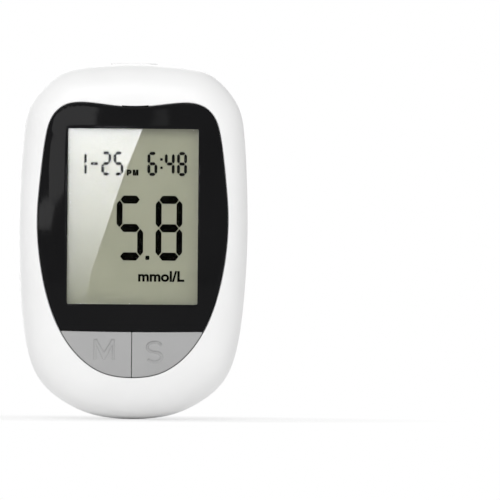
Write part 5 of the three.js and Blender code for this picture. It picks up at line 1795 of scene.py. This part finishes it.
plate_face = level(PLATE_NEAR)
plate = raised("slider_plate", slider_path(), PLATE_FAR, plate_face, -1, PLATE_RIM, PLATE_BACK_RIM, steps=3)
fuse(plate, slab("stem", box_path(*STEM), STEM_START, STEM_END))
fuse(plate, turned("peg", 0, (STEM[2] + STEM[3]) / 2, PEG, PEG_SIDES))
dress(plate, slider_grey, "ejector", ["ejector_slider"])

# %% Row of grip ribs
RIB_COUNT = 8
RIB_PITCH = 1.59
RIB_LENGTH = 8.15
RIB_THICK = 0.75
RIB_CORNER = 0.3
RIB_RIM = 0.26
RIB_TOP = 0.1
RIB_FOOT = PLATE_NEAR + 0.1
RIB_FIRST = SLIDER_LOW + 2.95
ROW_INPUTS = {
    "Copied Piece": "NodeSocketObject",
    "Count": "NodeSocketInt",
    "Pitch": "NodeSocketVector",
    "First Place": "NodeSocketVector",
    "Material": "NodeSocketMaterial",
}
row_tree, start, end = new_tree("row_of_copies", ROW_INPUTS)
line = add_node(row_tree, "GeometryNodeMeshLine")
wire(
    row_tree,
    (start.outputs["Count"], line.inputs["Count"]),
    (start.outputs["Pitch"], line.inputs["Offset"]),
    (start.outputs["First Place"], line.inputs["Start Location"]),
)
close_tree(row_tree, start, end, copy_on(row_tree, start, line.outputs[0]).outputs[0])


def row_of(name, piece, count, pitch, first, material):
    """A row of copies of a piece, which is used up. The pitch and the first place are x and height."""
    values = {
        "Copied Piece": at_origin(piece),
        "Count": count,
        "Pitch": (pitch[0] * MM, 0, pitch[1] * MM),
        "First Place": tuple(to_frame([first[0], 0, first[1]])[0]),
        "Material": material,
    }
    made = grow(name, row_tree, values)
    bpy.data.objects.remove(piece)
    return made


rib_shape = rounded_rect(-RIB_LENGTH / 2, RIB_LENGTH / 2, -RIB_THICK / 2, RIB_THICK / 2, RIB_CORNER, 5)
rib = raised("rib", rib_shape, RIB_FOOT, level(RIB_TOP), -1, RIB_RIM, steps=3)
ribs = row_of("slider_ribs", rib, RIB_COUNT, (0, RIB_PITCH), (0, RIB_FIRST), slider_grey)
dress(ribs, slider_grey, "ejector")

# %% [markdown]
# ## Ejector spring
# The return spring is a wire wound along a helix. Geometry Nodes have a spiral curve and can sweep a round
# profile along it, with its ends closed.

# %% Spring
SPRING_WIRE = 0.36
SPRING_TURNS = 5.0
SPRING_RADIUS = 1.2
SPRING_DEPTH = 4.5
SPRING_FINENESS = 32
WIRE_SIDES = 12
WIRE_SHARP = 60
SPRING_INPUTS = {
    "Turns": "NodeSocketFloat",
    "Radius": "NodeSocketFloat",
    "Rise": "NodeSocketFloat",
    "Wire Radius": "NodeSocketFloat",
    "Place": "NodeSocketVector",
    "Material": "NodeSocketMaterial",
}
spring_tree, start, end = new_tree("wound_wire", SPRING_INPUTS)
spiral = add_node(spring_tree, "GeometryNodeCurveSpiral", Resolution=SPRING_FINENESS)
section = add_node(spring_tree, "GeometryNodeCurvePrimitiveCircle", Resolution=WIRE_SIDES)
sweep = add_node(spring_tree, "GeometryNodeCurveToMesh", Fill_Caps=True)
shift = add_node(spring_tree, "GeometryNodeTransform")
wire(
    spring_tree,
    (start.outputs["Turns"], spiral.inputs["Rotations"]),
    (start.outputs["Radius"], spiral.inputs["Start Radius"]),
    (start.outputs["Radius"], spiral.inputs["End Radius"]),
    (start.outputs["Rise"], spiral.inputs["Height"]),
    (start.outputs["Wire Radius"], section.inputs["Radius"]),
    (spiral.outputs[0], sweep.inputs["Curve"]),
    (section.outputs[0], sweep.inputs["Profile Curve"]),
    (sweep.outputs[0], shift.inputs["Geometry"]),
    (start.outputs["Place"], shift.inputs["Translation"]),
)
close_tree(spring_tree, start, end, shift.outputs[0])
spring_box = measure("ejector_spring")
spring_length = spring_box.high - spring_box.low
winding = {
    "Turns": SPRING_TURNS,
    "Radius": SPRING_RADIUS * MM,
    "Rise": (spring_length - SPRING_WIRE) * MM,
    "Wire Radius": SPRING_WIRE / 2 * MM,
    "Place": tuple(to_frame([0, SPRING_DEPTH, spring_box.low + SPRING_WIRE / 2])[0]),
    "Material": bright_steel,
}
spring = grow("return_spring", spring_tree, winding)
dress(spring, bright_steel, "casing", ["ejector_spring"], WIRE_SHARP)
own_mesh(spring)

# %% [markdown]
# ## Strip port
# The port is a collar through the top end, with a flange behind the wall. The strip goes into a wide shallow
# mouth that narrows to the strip's own width.

# %% Port collar
PORT_RIM = 0.3
PORT_FLANGE_EDGE = 0.1
MOUTH_HALF = 4.65
MOUTH_THICK = 2.0
MOUTH_DEEP = 1.2
MOUTH_RIM = 0.2
THROAT_HALF = 3.475
THROAT_THICK = 1.15


def slot_rect(half, thick, corner):
    """A flat slot's outline across the meter and through its depth."""
    return centred_rect(0, PORT_DEPTH, half, thick / 2, corner, 5)


collar = slab("port_collar", port_path(0), PORT_LOW, PORT_TOP, "height", PORT_RIM)
flange_end = PORT_LOW + PORT_FLANGE_THICK
fuse(collar, slab("port_flange", port_path(PORT_FLANGE), PORT_LOW, flange_end, "height", PORT_FLANGE_EDGE))
mouth = slot_rect(MOUTH_HALF, MOUTH_THICK, BOX_CORNER)
mouth_rings = [in_space(mouth, PORT_TOP - MOUTH_DEEP, "height")]
for opened, drop in quarter_round(mouth, MOUTH_RIM, 1):
    mouth_rings.append(in_space(opened, PORT_TOP - drop + (NUDGE if drop == 0 else 0), "height"))
mouth_rings.append(in_space(grown(mouth, MOUTH_RIM + NUDGE), PORT_TOP + CLEAR, "height"))
cut(collar, skin("mouth", mouth_rings))
throat = slot_rect(THROAT_HALF, THROAT_THICK, SMALL_CORNER)
cut(collar, slab("throat", throat, PORT_LOW - CLEAR, PORT_TOP, "height"))
dress(collar, shell_white, "casing", ["strip_port"])

# %% [markdown]
# ## Screws
# Four identical pan-head screws hold the halves together. One is turned and gets its cross recess, and the
# tree from the digits puts a copy on each of the four places.

# %% Case screws
HEAD_RADIUS = 2.0
HEAD_TOP = 2.8
HEAD_SEAT = 4.1
SHANK_RADIUS = 1.0
SCREW_END = 12.2
CROSS_REACH = 1.15
CROSS_STROKE = 0.27
CROSS_CORNER = 0.1
CROSS_DEEP = 0.75
CROSS_RIM = 0.05
CROSS_FOOT = (0.62, 0.9)  # how much of its reach and of its stroke each arm of the cross keeps at its foot
CROSS_FLARE = 1.04
CROSS_ABOVE = 0.5
HEAD_SIDES = 48
SCREW_TURNS = (0.35, 1.1, 0.72, 0.1)
head_profile = [
    (0.75, HEAD_TOP), (1.2, HEAD_TOP + 0.03), (1.6, HEAD_TOP + 0.12), (1.85, HEAD_TOP + 0.3),
    (HEAD_RADIUS, HEAD_TOP + 0.6), (HEAD_RADIUS, HEAD_SEAT - 0.1), (HEAD_RADIUS - 0.1, HEAD_SEAT),
    (SHANK_RADIUS, HEAD_SEAT), (SHANK_RADIUS, SCREW_END - 1), (SHANK_RADIUS / 2, SCREW_END),
]
screw = turned("screw", 0, 0, head_profile, HEAD_SIDES)
for across, up, keep in (
    (CROSS_REACH, CROSS_STROKE, CROSS_FOOT),
    (CROSS_STROKE, CROSS_REACH, CROSS_FOOT[::-1]),
):
    arm = centred_rect(0, 0, across, up, CROSS_CORNER, 3)
    rings = [
        in_space(arm * keep, HEAD_TOP + CROSS_DEEP),
        in_space(arm, HEAD_TOP + CROSS_RIM),
        in_space(arm * CROSS_FLARE, HEAD_TOP - CROSS_ABOVE),
    ]
    cut(screw, skin("cross", rings))
spots = [(x, 0, height) for x, height in SCREW_PLACES]
values = {"Copied Piece": at_origin(screw), "Material": screw_zinc}
screws = grow("case_screws", copies, values, spots, SCREW_TURNS)
bpy.data.objects.remove(screw)
dress(screws, screw_zinc, "casing", [f"case_screw_{i}" for i in range(1, 5)], ROUND_SHARP)

# %% [markdown]
# ## Rear label
# The silver label is a thin film in a shallow recess. Its print is slightly askew, as labels often are. It is
# a plain form: ruled lines and empty boxes. The tree that lays the slider's ribs also lays what repeats here.

# %% Label film
label_box = measure("rear_label")
label = slab("label_film", grown_rect(LABEL, 0, LABEL_CORNER), LABEL_FLOOR, label_box.near)
dress(label, label_silver, "casing", ["rear_label"])

# %% Ruled print
PRINT_TURN = math.radians(0.55)
PRINT_RISE = 0.02
PRINT_NEAR = label_box.near - PRINT_RISE
PRINT_LINE = 0.16
FRAME_CORNER = 0.3
FRAME_INNER_CORNER = 0.05
RULE_LENGTH = 26.6
RULE_X = -0.45
RULES = {
    # name: thickness, how many, step down, height of the first
    "label_rules": (0.3, 2, 2.6, 40.7),
    "label_fine_rules": (0.13, 2, 5.4, 34.1),
}
SQUARE = (-1.2, 1.2, -1.2, 1.2)
SQUARES = (4, (-6.4, 0), (9.5, 26.4))  # how many, the step, and x and height of the first
BOXES = {
    # name: left, right, low and high edge, and line
    "label_box_small": ((9.0, 12.25, 35.5, 37.1), PRINT_LINE),
    "label_box_wide": ((2.8, 7.1, 29.6, 32.1), 0.24),
}


def printed(piece):
    """Thin print on the label, turned a little about the label's middle."""
    points = np.array([vertex.co for vertex in piece.data.vertices])
    centre = to_frame([(LABEL[0] + LABEL[1]) / 2, 0, (LABEL[2] + LABEL[3]) / 2])[0]
    flat = points - centre
    cosine, sine = math.cos(PRINT_TURN), math.sin(PRINT_TURN)
    points[:, 0] = centre[0] + flat[:, 0] * cosine - flat[:, 2] * sine
    points[:, 2] = centre[2] + flat[:, 0] * sine + flat[:, 2] * cosine
    piece.data.vertices.foreach_set("co", points.ravel())
    piece.data.update()
    return dress(piece, label_print, "casing")


def printed_frame(name, box, line):
    """A thin printed frame along the inside of a box."""
    frame_print = slab(name, grown_rect(box, 0, FRAME_CORNER, SMALL_STEPS), label_box.near, PRINT_NEAR)
    inside = grown_rect(box, -line, max(FRAME_CORNER - line, FRAME_INNER_CORNER), SMALL_STEPS)
    return cut(frame_print, slab("inside", inside, label_box.near + CLEAR, label_box.near - CLEAR))


for name, (thick, count, step, height) in RULES.items():
    rule_path = rounded_rect(-RULE_LENGTH / 2, RULE_LENGTH / 2, -thick / 2, thick / 2, thick / 4, 2)
    rule = slab("rule", rule_path, label_box.near, PRINT_NEAR)
    printed(row_of(name, rule, count, (0, -step), (RULE_X, height), label_print))
printed(row_of("label_squares", printed_frame("square", SQUARE, PRINT_LINE), *SQUARES, label_print))
for name, (box, line) in BOXES.items():
    printed(printed_frame(name, box, line))

# %% [markdown]
# ## Pieces that stay as constructed
# Everything else is inside: the display cell, the board and what is soldered to it, the contacts and the
# carriage. Their shapes are right as they are, so they only get the finish that their real material has.

# %% Finishes for the inner pieces
INNER_FINISHES = {
    display_film: ["lcd_cell"],
    inner_white: ["lcd_holder"],
    contact_rubber: ["zebra_connector"],
    board_green: ["circuit_board"],
    bright_steel: ["battery_contact_negative", "battery_contact_positive"],
    contact_gold: [f"strip_contact_{i}" for i in range(1, 6)],
    inner_black: [
        "memory_switch",
        "set_switch",
        "memory_switch_stem",
        "set_switch_stem",
        "main_chip",
        "buzzer",
        "ejector_carriage",
        "strip_connector",
    ],
}
for material, nodes in INNER_FINISHES.items():
    for node in nodes:
        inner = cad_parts[node]
        if not inner.material_slots:
            inner.data.materials.append(material)
        for material_slot in inner.material_slots:
            material_slot.material = material
print("inner pieces", sum(len(nodes) for nodes in INNER_FINISHES.values()))

# %% [markdown]
# ## The window's reflection
# A light card with a slanted side stands a metre in front of the meter and shows in the film behind the
# digits, brightest at the top. It gives no light of its own to matt surfaces, and the camera doesn't see it.
# Three more cards stand where the crowned panel mirrors them, and make the pale patches at its upper corners
# and on its left side. The corners of all cards are found from pixels: the camera's view is followed to the
# mirroring surface and on to the cards.

# %% Light cards
CARD_DEPTH = 1000.0
SLOPE_STEP = 0.5
GLARE_PIXELS = ((60, 120), (146.6, 120), (124, 175), (92, 270), (84.0, 306), (60, 306))
GLARE_TOP = 13.6
GLARE_FOOT = 1.1
GLARE_TINT = (0.94, 0.94, 1.0, 1)
PATCHES = {
    # glow: corners in pixels
    4.4: (
        (52, 119), (57, 112), (66, 107), (99, 107), (96, 128), (70, 129),
        (66, 190), (57, 203), (48, 195), (49, 162), (54, 135),
    ),
    5.0: ((39, 203), (49, 198), (56, 206), (50, 229), (39, 229)),
    2.2: ((155, 108), (167, 108), (169, 127), (150, 127), (156, 118)),
}


def mirrored_in(surface, pixel):
    """Where on the cards' plane the camera looks when a pixel of the picture shows a mirroring surface."""
    x, height = photo_point(*pixel)
    slope_x = depth_at(surface, x + SLOPE_STEP, height) - depth_at(surface, x - SLOPE_STEP, height)
    slope_height = depth_at(surface, x, height + SLOPE_STEP) - depth_at(surface, x, height - SLOPE_STEP)
    normal = np.array([-slope_x, 2 * SLOPE_STEP, -slope_height])
    normal /= np.linalg.norm(normal)
    point = np.array([x, depth_at(surface, x, height), height])
    view = point - (CAMERA_X, PARTING + CAMERA_AWAY, CAMERA_HEIGHT)
    away = view - 2 * np.dot(view, normal) * normal
    met = point + away * (CARD_DEPTH - point[1]) / away[1]
    return met[0], met[2]


def light_card(name, outline, foot_glow, top_glow, tint=WHITE):
    """A card that only reflections see. Its glow changes from its last corner's height to its first's."""
    points = [(x, CARD_DEPTH, height) for x, height in outline]
    mesh = bpy.data.meshes.new(name)
    mesh.from_pydata(to_frame(points).tolist(), [], [tuple(range(len(points)))])
    card = in_scene(name, mesh)
    material = bpy.data.materials.new(name)
    tree = empty_tree(material)
    place = add_node(tree, "ShaderNodeTexCoord")
    split = add_node(tree, "ShaderNodeSeparateXYZ")
    foot, top = (height * MM + BOTTOM_Z for height in (outline[-1][1], outline[0][1]))
    ends = {"From_Min": foot, "From_Max": top, "To_Min": foot_glow, "To_Max": top_glow}
    rise = add_node(tree, "ShaderNodeMapRange", **ends)
    light = add_node(tree, "ShaderNodeEmission", Color=tint)
    output = add_node(tree, "ShaderNodeOutputMaterial")
    wire(
        tree,
        (place.outputs["Object"], split.inputs[0]),
        (split.outputs["Z"], rise.inputs["Value"]),
        (rise.outputs["Result"], light.inputs["Strength"]),
        (light.outputs[0], output.inputs[0]),
    )
    mesh.materials.append(material)
    card.visible_camera = False
    card.visible_diffuse = False
    card.visible_shadow = False
    card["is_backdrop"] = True
    return card


glare = [mirrored_in(level(FILM), pixel) for pixel in GLARE_PIXELS]
light_card("glare_card", glare, GLARE_FOOT, GLARE_TOP, GLARE_TINT)
for number, (glow, pixels) in enumerate(PATCHES.items()):
    patch = [mirrored_in(front_surface, pixel) for pixel in pixels]
    light_card(f"patch_card_{number + 1}", patch, glow, glow)
print("glare card", np.round(glare).astype(int).tolist())
print("patches", len(PATCHES))

size = {"cad": [list(cad_low), list(cad_high)], "visual": [list(corner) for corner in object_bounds()]}
